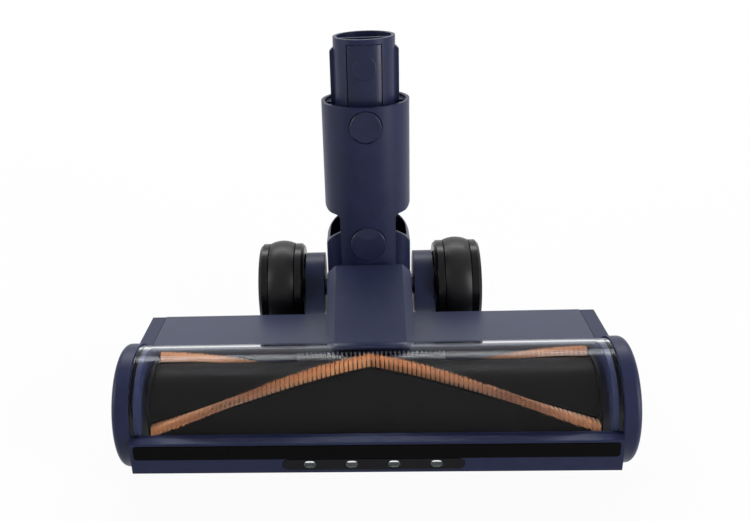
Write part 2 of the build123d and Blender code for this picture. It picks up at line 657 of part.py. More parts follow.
# Hair comb on the chamber's rear wall
COMB_OUTER = CHAMBER_RADIUS - FIT
COMB_TIP = sqrt(TIP_RADIUS**2 + (STRIP_WIDTH / 2) ** 2) + CLEAR
COMB_TEETH = int(2 * COMB_HALF / COMB_PITCH)
with BuildPart() as hair_comb:
    with BuildSketch(SIDE):
        disc(ROLLER_CENTRE, COMB_OUTER)
        disc(ROLLER_CENTRE, (COMB_OUTER + COMB_TIP) / 2, Mode.SUBTRACT)
        with Locations((CHAMBER_RADIUS, COMB_LOW)):
            Rectangle(
                CHAMBER_RADIUS,
                COMB_BAR,
                align=(Align.CENTER, Align.MIN),
                mode=Mode.INTERSECT,
            )
    extrude(amount=COMB_HALF, both=True)
    for tooth in range(COMB_TEETH + 1):
        tooth_x = (tooth - COMB_TEETH / 2) * COMB_PITCH
        with BuildSketch(SIDE.offset(tooth_x)):
            disc(ROLLER_CENTRE, COMB_OUTER)
            disc(ROLLER_CENTRE, COMB_TIP, Mode.SUBTRACT)
            with Locations((CHAMBER_RADIUS, COMB_LOW)):
                Rectangle(
                    CHAMBER_RADIUS,
                    COMB_HIGH - COMB_LOW,
                    align=(Align.CENTER, Align.MIN),
                    mode=Mode.INTERSECT,
                )
        extrude(amount=COMB_TOOTH / 2, both=True)
save(hair_comb, "hair_comb")

# Brush motor: a can with a bearing boss, closed by an end bell, round a rotor on the shaft
MOTOR_X = -BAY_HALF + MOTOR_GAP
MOTOR_CENTRE = (MOTOR_Y, MOTOR_Z)
CAN_LENGTH = MOTOR_LENGTH - BELL_DEPTH
ROTOR_LENGTH = CAN_LENGTH - CAN_WALL - 2 * ROTOR_PLAY
with BuildPart() as brush_motor:
    with BuildSketch(SIDE.offset(MOTOR_X)):
        disc(MOTOR_CENTRE, MOTOR_RADIUS)
    extrude(amount=CAN_LENGTH)
    chamfer(brush_motor.faces().sort_by(Axis.X)[0].edges(), WALL / 2)
    with BuildSketch(SIDE.offset(MOTOR_X + CAN_WALL)):
        disc(MOTOR_CENTRE, MOTOR_RADIUS - CAN_WALL)
    extrude(amount=CAN_LENGTH, mode=Mode.SUBTRACT)
    with BuildSketch(SIDE.offset(MOTOR_X + CAN_WALL)):
        disc(MOTOR_CENTRE, 2 * MOTOR_SHAFT_RADIUS + WALL / 2)
    extrude(amount=-WALL - CAN_WALL)
    with BuildSketch(SIDE.offset(MOTOR_X - WALL)):
        disc(MOTOR_CENTRE, MOTOR_SHAFT_RADIUS + RUN)
    extrude(amount=MOTOR_LENGTH, mode=Mode.SUBTRACT)
save(brush_motor, "brush_motor")

with BuildPart() as motor_end_bell:
    with BuildSketch(SIDE.offset(MOTOR_X + CAN_LENGTH)):
        disc(MOTOR_CENTRE, MOTOR_RADIUS)
    extrude(amount=BELL_DEPTH)
    chamfer(motor_end_bell.faces().sort_by(Axis.X)[-1].edges(), WALL)
    with BuildSketch(SIDE.offset(MOTOR_X + CAN_LENGTH)):
        disc(MOTOR_CENTRE, MOTOR_SHAFT_RADIUS + RUN)
    extrude(amount=BELL_SEAT + CLEAR, mode=Mode.SUBTRACT)
save(motor_end_bell, "motor_end_bell")

with BuildPart() as motor_shaft:
    with BuildSketch(SIDE.offset(-BELT_X)):
        disc(MOTOR_CENTRE, MOTOR_SHAFT_RADIUS)
    extrude(amount=BELT_X + MOTOR_X + CAN_LENGTH + BELL_SEAT)
save(motor_shaft, "motor_shaft")

with BuildPart() as rotor_core:
    with BuildSketch(SIDE.offset(MOTOR_X + CAN_WALL + ROTOR_PLAY)):
        disc(MOTOR_CENTRE, MOTOR_RADIUS - CAN_WALL - AIR_GAP)
        disc(MOTOR_CENTRE, MOTOR_SHAFT_RADIUS, Mode.SUBTRACT)
    extrude(amount=ROTOR_LENGTH)
save(rotor_core, "rotor_core")

with BuildPart() as motor_pulley:
    with BuildSketch(SIDE.offset(-BELT_X)):
        disc((MOTOR_Y, MOTOR_Z), MOTOR_PULLEY_RADIUS)
        disc((MOTOR_Y, MOTOR_Z), MOTOR_SHAFT_RADIUS, Mode.SUBTRACT)
    extrude(amount=BELT_WIDTH)
save(motor_pulley, "motor_pulley")

with BuildPart() as roller_pulley:
    with BuildSketch(SIDE.offset(-BELT_X)):
        disc(ROLLER_CENTRE, ROLLER_PULLEY_RADIUS)
        disc(ROLLER_CENTRE, SHAFT_RADIUS, Mode.SUBTRACT)
    extrude(amount=BELT_WIDTH)
save(roller_pulley, "roller_pulley")

# Belt: a closed loop hugging both pulleys
with BuildPart() as drive_belt:
    with BuildSketch(SIDE.offset(-BELT_X)):
        disc(ROLLER_CENTRE, ROLLER_PULLEY_RADIUS + CLEAR + BELT_THICK)
        disc((MOTOR_Y, MOTOR_Z), MOTOR_PULLEY_RADIUS + CLEAR + BELT_THICK)
        make_hull()
    extrude(amount=BELT_WIDTH)
    with BuildSketch(SIDE.offset(-BELT_X)):
        disc(ROLLER_CENTRE, ROLLER_PULLEY_RADIUS + CLEAR)
        disc((MOTOR_Y, MOTOR_Z), MOTOR_PULLEY_RADIUS + CLEAR)
        make_hull()
    extrude(amount=BELT_WIDTH, mode=Mode.SUBTRACT)
save(drive_belt, "drive_belt")

# Roller shaft and its bushes in the chamber's end walls
with BuildPart() as roller_shaft:
    with BuildSketch(SIDE.offset(-BELT_X)):
        disc(ROLLER_CENTRE, SHAFT_RADIUS)
    extrude(amount=BELT_X + HOUSING_HALF)
save(roller_shaft, "roller_shaft")

for side_name, side in SIDES.items():
    with BuildPart() as roller_bush:
        with BuildSketch(SIDE.offset(side * BAY_HALF)):
            disc(ROLLER_CENTRE, BUSH_RADIUS)
            disc(ROLLER_CENTRE, SHAFT_RADIUS + RUN, Mode.SUBTRACT)
        extrude(amount=side * END_WALL)
    save(roller_bush, f"{side_name}_roller_bush")

# Bristle strips: V strips, each half twisting from the middle to an end of the roller
STRIP_HALF = CORE_HALF - FLANGE_DEPTH


def twisted_rib(index, low, high, width):
    """One half of a strip from the middle of the roller, between two radii, twisted about its axis."""
    angle = radians(180 - STRIP_APEX + index * 360 / STRIP_COUNT)
    section_plane = Plane((0, ROLLER_Y, ROLLER_Z), x_dir=(0, cos(angle), sin(angle)), z_dir=(1, 0, 0))
    with BuildSketch(section_plane, mode=Mode.PRIVATE) as section:
        with Locations(((low + high) / 2, 0)):
            Rectangle(high - low, width)
    return Solid.extrude_linear_with_rotation(
        section.sketch.faces()[0], (0, ROLLER_Y, ROLLER_Z), (STRIP_HALF, 0, 0), STRIP_TWIST
    )


STRIP_LOW = CORE_RADIUS - STRIP_ROOT
with BuildPart() as bristle_strips:
    add([twisted_rib(index, STRIP_LOW, TIP_RADIUS, STRIP_WIDTH) for index in range(STRIP_COUNT)])
    mirror(about=Plane.YZ)
save(bristle_strips, "bristle_strips")

# Roller core: a tube with a raised lip along each strip's slot
LIP_LOW = CORE_RADIUS - LIP_HEIGHT
LIP_HIGH = CORE_RADIUS + LIP_HEIGHT
with BuildPart() as roller_core:
    add([twisted_rib(index, LIP_LOW, LIP_HIGH, STRIP_WIDTH + 2 * LIP_WIDTH) for index in range(STRIP_COUNT)])
    mirror(about=Plane.YZ)
    with BuildSketch(SIDE):
        disc(ROLLER_CENTRE, CORE_RADIUS)
    extrude(amount=STRIP_HALF, both=True)
    with BuildSketch(SIDE):
        disc(ROLLER_CENTRE, CORE_BORE)
    extrude(amount=STRIP_HALF, both=True, mode=Mode.SUBTRACT)
    add(bristle_strips.part, mode=Mode.SUBTRACT)
save(roller_core, "roller_core")

# End caps of the roller: a flange and a plug in the core, on the shaft
for side_name, side in SIDES.items():
    with BuildPart() as roller_cap:
        with BuildSketch(SIDE.offset(side * STRIP_HALF)):
            disc(ROLLER_CENTRE, FLANGE_RADIUS)
        extrude(amount=side * FLANGE_DEPTH)
        with BuildSketch(SIDE.offset(side * STRIP_HALF)):
            disc(ROLLER_CENTRE, CORE_BORE)
        extrude(amount=-side * PLUG_DEPTH)
        with BuildSketch(SIDE.offset(side * (STRIP_HALF - PLUG_DEPTH))):
            disc(ROLLER_CENTRE, SHAFT_RADIUS)
        extrude(amount=side * (PLUG_DEPTH + FLANGE_DEPTH), mode=Mode.SUBTRACT)
    save(roller_cap, f"{side_name}_roller_cap")

# Wheels: a hub with two flanges, a crowned tyre between them and a cap, on a stepped axle pin
TYRE_LOW = WHEEL_INNER + (WHEEL_WIDTH - TYRE_WIDTH) / 2
TYRE_SEAT = WHEEL_RADIUS - TYRE_DEPTH
TYRE_BORE = TYRE_SEAT + RUN
RIM_RADIUS = WHEEL_RADIUS - FLANGE_DROP
AXLE_SECTION = Plane(origin=(0, PIVOT_Y, PIVOT_Z), x_dir=(1, 0, 0), z_dir=(0, -1, 0))
for side_name, side in SIDES.items():
    with BuildPart() as wheel_hub:
        with BuildSketch(SIDE.offset(side * WHEEL_INNER)):
            disc(PIVOT_CENTRE, RIM_RADIUS)
        extrude(amount=side * WHEEL_FLANGE)
        with BuildSketch(SIDE.offset(side * (WHEEL_OUTER - WHEEL_FLANGE))):
            disc(PIVOT_CENTRE, RIM_RADIUS)
        extrude(amount=side * WHEEL_FLANGE)
        rims = wheel_hub.edges().filter_by(GeomType.CIRCLE).sort_by(Axis.X)
        chamfer([rims[0], rims[-1]], FLANGE_BEVEL)
        with BuildSketch(SIDE.offset(side * (WHEEL_INNER + WALL))):
            disc(PIVOT_CENTRE, TYRE_SEAT)
        extrude(amount=side * (WHEEL_WIDTH - 2 * WALL))
        with BuildSketch(SIDE.offset(side * (WHEEL_OUTER - WHEEL_DISH))):
            disc(PIVOT_CENTRE, TYRE_SEAT - WALL)
        extrude(amount=side * WHEEL_DISH, mode=Mode.SUBTRACT)
        with BuildSketch(SIDE.offset(side * WHEEL_INNER)):
            disc(PIVOT_CENTRE, TYRE_SEAT - WALL)
            disc(PIVOT_CENTRE, HUB_CAP_RADIUS - WALL, Mode.SUBTRACT)
        extrude(amount=side * (WHEEL_WIDTH / 2), mode=Mode.SUBTRACT)
        with BuildSketch(SIDE.offset(side * WHEEL_INNER)):
            disc(PIVOT_CENTRE, AXLE_RADIUS + RUN)
        extrude(amount=side * WHEEL_WIDTH, mode=Mode.SUBTRACT)
    save(wheel_hub, f"{side_name}_wheel_hub")

    with BuildPart() as wheel_tyre:
        with BuildSketch(AXLE_SECTION):
            with BuildLine():
                tyre_low = side * TYRE_LOW
                tyre_high = side * (TYRE_LOW + TYRE_WIDTH)
                edge_radius = WHEEL_RADIUS - TYRE_CROWN
                crown = ThreePointArc(
                    (tyre_low, edge_radius),
                    ((tyre_low + tyre_high) / 2, WHEEL_RADIUS),
                    (tyre_high, edge_radius),
                )
                Polyline(crown @ 1, (tyre_high, TYRE_BORE), (tyre_low, TYRE_BORE), crown @ 0)
            make_face()
        revolve(axis=Axis(AXLE_SECTION.origin, (1, 0, 0)))
    save(wheel_tyre, f"{side_name}_wheel_tyre")

    with BuildPart() as hub_cap:
        with BuildSketch(SIDE.offset(side * (WHEEL_OUTER - WHEEL_DISH))):
            disc(PIVOT_CENTRE, HUB_CAP_RADIUS)
        extrude(amount=side * HUB_CAP_THICK)
        chamfer(hub_cap.faces().sort_by(Axis.X)[-1 if side > 0 else 0].edges(), WALL / 2)
        with BuildSketch(SIDE.offset(side * (WHEEL_OUTER - WHEEL_DISH))):
            disc(PIVOT_CENTRE, AXLE_RADIUS + RUN)
        extrude(amount=side * HUB_CAP_BORE, mode=Mode.SUBTRACT)
    save(hub_cap, f"{side_name}_hub_cap")

    with BuildPart() as axle_pin:
        with BuildSketch(SIDE.offset(side * (YOKE_HALF - TRUNNION_WALL))):
            disc(PIVOT_CENTRE, TRUNNION_RADIUS)
        extrude(amount=side * (ARM_OUTER - YOKE_HALF + TRUNNION_WALL))
        with BuildSketch(SIDE.offset(side * ARM_OUTER)):
            disc(PIVOT_CENTRE, AXLE_RADIUS)
        extrude(amount=side * (WHEEL_OUTER - ARM_OUTER - WHEEL_DISH + HUB_CAP_BORE / 2))
        with BuildSketch(SIDE.offset(side * ARM_OUTER)):
            disc(PIVOT_CENTRE, TRUNNION_RADIUS)
        extrude(amount=side * (WHEEL_INNER - ARM_OUTER - CLEAR))
    save(axle_pin, f"{side_name}_axle_pin")

    with BuildPart() as sole_wheel:
        with BuildSketch(SIDE.offset(side * SOLE_WHEEL_X)):
            disc((SOLE_WHEEL_Y, SOLE_WHEEL_RADIUS), SOLE_WHEEL_RADIUS)
            disc((SOLE_WHEEL_Y, SOLE_WHEEL_RADIUS), SOLE_PIN_RADIUS + RUN, Mode.SUBTRACT)
        extrude(amount=SOLE_WHEEL_WIDTH / 2, both=True)
    save(sole_wheel, f"{side_name}_sole_wheel")

with BuildPart() as sole_wheel_pins:
    for side in SIDES.values():
        with BuildSketch(SIDE.offset(side * SOLE_WHEEL_X)):
            disc((SOLE_WHEEL_Y, SOLE_WHEEL_RADIUS), SOLE_PIN_RADIUS)
        extrude(amount=SOLE_WHEEL_WIDTH / 2 + SOLE_PIN_END, both=True)
save(sole_wheel_pins, "sole_wheel_pins")

# Screws up through the sole
with BuildPart() as sole_screws:
    with BuildSketch(FLOOR.offset(SOLE_Z + FIT)):
        with Locations(*SCREW_SPOTS):
            Circle(SCREW_HEAD_RADIUS)
    extrude(amount=WALL)
    with BuildSketch(FLOOR.offset(SOLE_Z + FIT)):
        with Locations(*SCREW_SPOTS):
            Circle(SCREW_RADIUS)
    extrude(amount=PART_Z - SOLE_Z - 2 * WALL)
save(sole_screws, "sole_screws")

# Control board on four posts of the right bay, with a choke and a plug block
with BuildPart() as control_board:
    with BuildSketch(FLOOR.offset(SOLE_TOP)):
        with Locations((BOARD_X, BOARD_Y)):
            with GridLocations(BOARD_LENGTH - 2 * POST_INSET, BOARD_DEPTH - 2 * POST_INSET, 2, 2):
                Circle(POST_INSET / 2)
    extrude(amount=POST_HEIGHT)
    with BuildSketch(FLOOR.offset(SOLE_TOP + POST_HEIGHT)):
        with Locations((BOARD_X, BOARD_Y)):
            Rectangle(BOARD_LENGTH, BOARD_DEPTH)
    extrude(amount=BOARD_THICK)
    with BuildSketch(FLOOR.offset(SOLE_TOP + POST_HEIGHT + BOARD_THICK)):
        with Locations((BOARD_X - BOARD_LENGTH / 4, BOARD_Y)):
            Circle(CHOKE_RADIUS)
        with Locations((BOARD_X + BOARD_LENGTH / 4, BOARD_Y)):
            Rectangle(*PLUG_BLOCK)
    extrude(amount=PART_HEIGHT)
save(control_board, "control_board")

# Yoke: hollow rounded tube that turns on the axle pins, its ears cut down beside the swivel
with BuildPart() as yoke_shell:
    with BuildSketch(NECK.offset(-YOKE_DEPTH)):
        RectangleRounded(2 * YOKE_HALF, 2 * YOKE_DEPTH, YOKE_CORNER)
    extrude(amount=YOKE_DEPTH + SWIVEL_H + 2 * SWIVEL_PIN_RADIUS)
    with BuildSketch(NECK_SIDE):
        Circle(YOKE_DEPTH)
        with Locations((0, SWIVEL_H)):
            Rectangle(2 * YOKE_DEPTH, 2 * SWIVEL_H)
    extrude(amount=YOKE_HALF, both=True, mode=Mode.INTERSECT)
    with BuildSketch(NECK.offset(-YOKE_DEPTH)):
        RectangleRounded(2 * (YOKE_HALF - WALL), 2 * (YOKE_DEPTH - WALL), YOKE_CORNER - WALL)
    extrude(amount=2 * YOKE_DEPTH + 2 * SWIVEL_H, mode=Mode.SUBTRACT)
    with BuildSketch(NECK.offset(YOKE_DECK_H)):
        RectangleRounded(2 * YOKE_HALF - WALL, 2 * YOKE_DEPTH - WALL, YOKE_CORNER - WALL / 2)
        Circle(HOSE_RADIUS - HOSE_WALL, mode=Mode.SUBTRACT)
    extrude(amount=WALL)
    for side in SIDES.values():
        with BuildSketch(NECK_SIDE.offset(side * (YOKE_HALF - TRUNNION_WALL))):
            Circle(YOKE_DEPTH - WALL)
        extrude(amount=side * TRUNNION_WALL)
        with BuildSketch(NECK_SIDE.offset(side * (YOKE_HALF - 2 * TRUNNION_WALL))):
            Circle(TRUNNION_RADIUS + RUN)
        extrude(amount=side * 2 * TRUNNION_WALL, mode=Mode.SUBTRACT)
        with BuildSketch(NECK_FRONT.offset(side * (YOKE_DEPTH - SWIVEL_BOSS_DEPTH))):
            disc((0, SWIVEL_H), SWIVEL_PIN_RADIUS + WALL)
        extrude(amount=side * SWIVEL_BOSS_DEPTH)
    with BuildSketch(NECK_FRONT):
        with BuildLine():
            ear = ThreePointArc(
                (YOKE_HALF, YOKE_SHOULDER_H),
                (
                    (YOKE_HALF + YOKE_INNER_X) / 2 + EAR_BULGE,
                    (YOKE_SHOULDER_H + YOKE_INNER_H) / 2 + EAR_BULGE,
                ),
                (YOKE_INNER_X, YOKE_INNER_H),
            )
            Polyline(ear @ 1, (YOKE_CREST_X, YOKE_CREST_H), (0, YOKE_CREST_H))
            Polyline(ear @ 0, (YOKE_HALF, -YOKE_DEPTH), (0, -YOKE_DEPTH))
            mirror(about=Plane.YZ)
        make_face()
    extrude(amount=YOKE_HALF, both=True, mode=Mode.INTERSECT)
    with BuildSketch(NECK_FRONT):
        disc((0, SWIVEL_H), SWIVEL_PIN_RADIUS + RUN)
    extrude(amount=YOKE_HALF, both=True, mode=Mode.SUBTRACT)
    with BuildSketch(NECK_FRONT):
        with Locations((0, YOKE_DECK_H)):
            Rectangle(
                2 * (HOSE_RADIUS + HOSE_ROOM),
                2 * YOKE_DEPTH + YOKE_DECK_H,
                align=(Align.CENTER, Align.MAX),
            )
    extrude(amount=YOKE_HALF, mode=Mode.SUBTRACT)
save(yoke_shell, "yoke_shell")

# Duct hose: out of the hump's rear wall, bending up into the yoke
BEND_TURN = 90 - NECK_LEAN
HOSE_END = NECK.from_local_coords(Vector(0, 0, YOKE_DECK_H))
BEND_RADIUS = (HOSE_END.Z - PART_Z) / (1 - cos(radians(BEND_TURN)))
BEND_START_Y = HOSE_END.Y - BEND_RADIUS * sin(radians(BEND_TURN))
HOSE_START_Y = ROLLER_Y + HUMP_REAR_Y - WALL
with BuildPart() as duct_hose:
    with BuildLine(Plane.YZ) as hose_path:
        hose_run = Line((HOSE_START_Y, PART_Z), (BEND_START_Y, PART_Z))
        JernArc(hose_run @ 1, hose_run % 1, BEND_RADIUS, BEND_TURN)
    with BuildSketch(Plane((0, HOSE_START_Y, PART_Z), x_dir=(1, 0, 0), z_dir=(0, 1, 0))):
        Circle(HOSE_RADIUS)
        Circle(HOSE_RADIUS - HOSE_WALL, mode=Mode.SUBTRACT)
    sweep(path=hose_path.wire())
save(duct_hose, "duct_hose")

# Swivel hose: straight up from the yoke's deck to the floor of the neck
SWIVEL_HOSE_LOW = YOKE_DECK_H + WALL
NECK_FLOOR_H = SWIVEL_H + ARCH_RADIUS
with BuildPart() as swivel_hose:
    with BuildSketch(NECK.offset(SWIVEL_HOSE_LOW)):
        Circle(HOSE_RADIUS)
        Circle(HOSE_RADIUS - HOSE_WALL, mode=Mode.SUBTRACT)
    extrude(amount=NECK_FLOOR_H - SWIVEL_HOSE_LOW)
save(swivel_hose, "swivel_hose")

# Neck: round collar with two plates below it that straddle the yoke
with BuildPart() as neck_tube:
    with BuildSketch(NECK.offset(SWIVEL_H - PLATE_REACH)):
        Circle(COLLAR_RADIUS)
    extrude(amount=COLLAR_TOP_H - SWIVEL_H + PLATE_REACH)
    with BuildSketch(NECK_FRONT):
        disc((0, SWIVEL_H), PLATE_REACH)
        with Locations((0, SWIVEL_H)):
            Rectangle(FAR, FAR, align=(Align.CENTER, Align.MIN))
    extrude(amount=FAR, both=True, mode=Mode.INTERSECT)
    for side in SIDES.values():
        with BuildSketch(NECK_FRONT):
            with BuildLine():
                corner_x = COLLAR_RADIUS + CLEAR - COLLAR_ROUND
                ease = sqrt(1 / 2)
                join = ThreePointArc(
                    (side * PLATE_HALF, COLLAR_LOW_H - JOIN_ROUND),
                    (side * (PLATE_HALF + JOIN_ROUND * (1 - ease)), COLLAR_LOW_H - JOIN_ROUND * (1 - ease)),
                    (side * (PLATE_HALF + JOIN_ROUND), COLLAR_LOW_H),
                )
                corner = ThreePointArc(
                    (side * corner_x, COLLAR_LOW_H),
                    (side * (corner_x + COLLAR_ROUND * ease), COLLAR_LOW_H + COLLAR_ROUND * (1 - ease)),
                    (side * (corner_x + COLLAR_ROUND), COLLAR_LOW_H + COLLAR_ROUND),
                )
                Line(join @ 1, corner @ 0)
                Polyline(
                    corner @ 1,
                    (side * FAR, COLLAR_LOW_H + COLLAR_ROUND),
                    (side * FAR, 0),
                    (side * PLATE_HALF, 0),
                    join @ 0,
                )
            make_face()
        extrude(amount=FAR, both=True, mode=Mode.SUBTRACT)
    with BuildSketch(NECK_FRONT):
        disc((0, SWIVEL_H), ARCH_RADIUS)
    extrude(amount=YOKE_DEPTH + CLEAR, both=True, mode=Mode.SUBTRACT)
    with BuildSketch(NECK.offset(SWIVEL_H)):
        Circle(HOSE_RADIUS + RUN)
    extrude(amount=ARCH_RADIUS, mode=Mode.SUBTRACT)
    with BuildSketch(NECK.offset(NECK_FLOOR_H)):
        Circle(HOSE_RADIUS - HOSE_WALL)
    extrude(amount=WALL, mode=Mode.SUBTRACT)
    with BuildSketch(NECK.offset(NECK_FLOOR_H + WALL)):
        Circle(COLLAR_RADIUS - 2 * WALL)
    extrude(amount=SEAT_H - NECK_FLOOR_H - 4 * WALL, mode=Mode.SUBTRACT)
    with BuildSketch(NECK.offset(NECK_FLOOR_H + WALL)):
        Circle(SPIGOT_BORE)
    extrude(amount=COLLAR_TOP_H - NECK_FLOOR_H, mode=Mode.SUBTRACT)
    with BuildSketch(NECK.offset(SEAT_H)):
        Circle(SPIGOT_RADIUS + RUN)
    extrude(amount=COLLAR_TOP_H - SEAT_H, mode=Mode.SUBTRACT)
    with BuildSketch(NECK.offset(RECESS_FLOOR)):
        Circle(COLLAR_RADIUS - RECESS_WALL)
    extrude(amount=RECESS_DEPTH, mode=Mode.SUBTRACT)
    with BuildSketch(NECK.offset(RECESS_FLOOR - SLOT_DEPTH)):
        for side in SIDES.values():
            with Locations((side * (SPIGOT_RADIUS + COLLAR_RADIUS - RECESS_WALL) / 2, 0)):
                Rectangle(COLLAR_RADIUS - RECESS_WALL - SPIGOT_RADIUS - WALL / 2, 2 * SLOT_HALF)
    extrude(amount=SLOT_DEPTH, mode=Mode.SUBTRACT)
    with BuildSketch(NECK_FRONT):
        disc((0, BUTTON_H), BUTTON_RADIUS + CLEAR)
    extrude(amount=COLLAR_RADIUS, mode=Mode.SUBTRACT)
    with BuildSketch(NECK_FRONT):
        disc((0, SWIVEL_H), SWIVEL_PIN_RADIUS + RUN)
    extrude(amount=COLLAR_RADIUS, both=True, mode=Mode.SUBTRACT)
    for side in SIDES.values():
        with BuildSketch(NECK_FRONT.offset(side * (COLLAR_RADIUS - SWIVEL_CAP_DEPTH))):
            disc((0, SWIVEL_H), SWIVEL_CAP_RADIUS + FIT)
        extrude(amount=side * SWIVEL_CAP_DEPTH, mode=Mode.SUBTRACT)
save(neck_tube, "neck_tube")

# Swivel pins: a capped stub in each plate, running in the yoke's wall, with a scallop at its top
CAP_OUT = COLLAR_RADIUS + SWIVEL_CAP_PROUD
FACET_OUT = CAP_OUT + sqrt(FACET_RADIUS**2 - FACET_REACH**2)
for place, side in {"front": 1, "rear": -1}.items():
    with BuildPart() as swivel_pin:
        with BuildSketch(NECK_FRONT.offset(side * (YOKE_DEPTH - SWIVEL_BOSS_DEPTH))):
            disc((0, SWIVEL_H), SWIVEL_PIN_RADIUS)
        extrude(amount=side * (COLLAR_RADIUS - SWIVEL_CAP_DEPTH - YOKE_DEPTH + SWIVEL_BOSS_DEPTH))
        with BuildSketch(NECK_FRONT.offset(side * (COLLAR_RADIUS - SWIVEL_CAP_DEPTH))):
            disc((0, SWIVEL_H), SWIVEL_CAP_RADIUS)
        extrude(amount=side * (SWIVEL_CAP_DEPTH + SWIVEL_CAP_PROUD))
        chamfer(swivel_pin.faces().sort_by(Axis.Y)[0 if side > 0 else -1].edges(), SWIVEL_CAP_PROUD / 2)
        with Locations(NECK_FRONT.from_local_coords(Vector(0, SWIVEL_H + FACET_RISE, side * FACET_OUT))):
            Sphere(FACET_RADIUS, mode=Mode.SUBTRACT)
    save(swivel_pin, f"{place}_swivel_pin")

# Wand spigot: tube with two guide ribs, a slot for the latch tongue and a wall behind it
POCKET_BACK = SPIGOT_RADIUS - POCKET_DEPTH
with BuildPart() as wand_spigot:
    with BuildSketch(NECK.offset(SEAT_H)):
        Circle(SPIGOT_RADIUS)
    extrude(amount=SPIGOT_TOP_H - SEAT_H)
    with BuildSketch(NECK.offset(RECESS_FLOOR)):
        Rectangle(2 * (SPIGOT_RADIUS + RIB_HEIGHT), 2 * RIB_HALF)
    extrude(amount=SPIGOT_TOP_H - RIB_DROP - RECESS_FLOOR)
    rib_edges = wand_spigot.edges().filter_by(Axis((0, 0, 0), NECK.y_dir))
    rib_tops = [edge for edge in rib_edges if abs(edge.center().X) > SPIGOT_RADIUS + RIB_HEIGHT / 2]
    chamfer(ShapeList(rib_tops).group_by(Axis.Z)[-1], RIB_HEIGHT - FIT)
    with BuildSketch(NECK.offset(SEAT_H)):
        Circle(SPIGOT_BORE)
        with Locations((0, -POCKET_BACK)):
            Rectangle(
                2 * SPIGOT_RADIUS,
                POCKET_WALL,
                align=(Align.CENTER, Align.MIN),
                mode=Mode.SUBTRACT,
            )
    extrude(amount=SPIGOT_TOP_H - SEAT_H, mode=Mode.SUBTRACT)
    with BuildSketch(NECK_FRONT.offset(POCKET_BACK)):
        with Locations((0, SEAT_H)):
            Rectangle(
                2 * (TONGUE_HALF + CLEAR),
                TONGUE_TOP_H + CLEAR - SEAT_H,
                align=(Align.CENTER, Align.MIN),
            )
    extrude(amount=SPIGOT_RADIUS, mode=Mode.SUBTRACT)
save(wand_spigot, "wand_spigot")

# Latch tongue: curved plate in the spigot's slot with a round catch that ramps up from its top
TONGUE_OUTER = SPIGOT_RADIUS - CLEAR
CATCH_OUT = SPIGOT_RADIUS + CATCH_HEIGHT
TONGUE_INNER = TONGUE_OUTER - TONGUE_THICK
with BuildPart() as latch_tongue:
    with BuildSketch(NECK.offset(TONGUE_LOW_H)):
        Circle(TONGUE_OUTER)
    extrude(amount=TONGUE_TOP_H - TONGUE_LOW_H)
    with BuildSketch(NECK_FRONT):
        disc((0, CATCH_H), CATCH_RADIUS)
    extrude(amount=CATCH_OUT)
    with BuildSketch(NECK_SIDE):
        polygon(
            (-TONGUE_OUTER, CATCH_H + CATCH_RADIUS),
            (-CATCH_OUT, CATCH_H - CATCH_RADIUS / 2),
            (-CATCH_OUT - CATCH_HEIGHT, CATCH_H - CATCH_RADIUS / 2),
            (-CATCH_OUT - CATCH_HEIGHT, CATCH_H + CATCH_RADIUS),
        )
    extrude(amount=CATCH_RADIUS, both=True, mode=Mode.SUBTRACT)
    with BuildSketch(NECK.offset(TONGUE_LOW_H)):
        Circle(TONGUE_INNER)
    extrude(amount=TONGUE_TOP_H - TONGUE_LOW_H, mode=Mode.SUBTRACT)
    with BuildSketch(NECK_FRONT):
        with Locations((0, TONGUE_LOW_H)):
            Rectangle(2 * TONGUE_HALF, TONGUE_TOP_H - TONGUE_LOW_H, align=(Align.CENTER, Align.MIN))
    extrude(amount=2 * SPIGOT_RADIUS, mode=Mode.INTERSECT)
save(latch_tongue, "latch_tongue")

# Release button: from the tongue out through the collar, its face dished for a fingertip
with BuildPart() as release_button:
    with BuildSketch(NECK_FRONT):
        disc((0, BUTTON_H), BUTTON_RADIUS)
    extrude(amount=COLLAR_RADIUS + BUTTON_PROUD)
    chamfer(release_button.edges().filter_by(GeomType.CIRCLE).sort_by(NECK_FRONT_AXIS)[-1], BUTTON_PROUD)
    with BuildSketch(NECK.offset(SEAT_H - 2 * BUTTON_RADIUS)):
        Circle(TONGUE_OUTER)
    extrude(amount=4 * BUTTON_RADIUS, mode=Mode.SUBTRACT)
    with Locations(NECK_FRONT.from_local_coords(Vector(0, BUTTON_H, BUTTON_FACE + DISH_RADIUS - DISH_DEPTH))):
        Sphere(DISH_RADIUS, mode=Mode.SUBTRACT)
save(release_button, "release_button")

# Latch spring: bent leaf between the spigot's wall and the tongue
with BuildPart() as latch_spring:
    with BuildSketch(NECK_SIDE):
        polygon(
            (-POCKET_BACK, SPRING_H),
            (-POCKET_BACK, SPRING_H + SPRING_RUN),
            (SPRING_THICK - TONGUE_INNER + CLEAR, SPRING_TOP_H),
            (CLEAR - TONGUE_INNER, SPRING_TOP_H),
            (-POCKET_BACK - SPRING_THICK, SPRING_H + SPRING_RUN - SPRING_THICK),
            (-POCKET_BACK - SPRING_THICK, SPRING_H),
        )
    extrude(amount=SPRING_WIDTH / 2, both=True)
save(latch_spring, "latch_spring")

# Terminal block on the wall behind the tongue, with its contact blades
with BuildPart() as terminal_block:
    with BuildSketch(NECK_FRONT.offset(POCKET_BACK)):
        with Locations((0, BLOCK_TOP_H)):
            Rectangle(2 * BLOCK_HALF, BLOCK_LENGTH, align=(Align.CENTER, Align.MAX))
    extrude(amount=BLOCK_THICK)
save(terminal_block, "terminal_block")

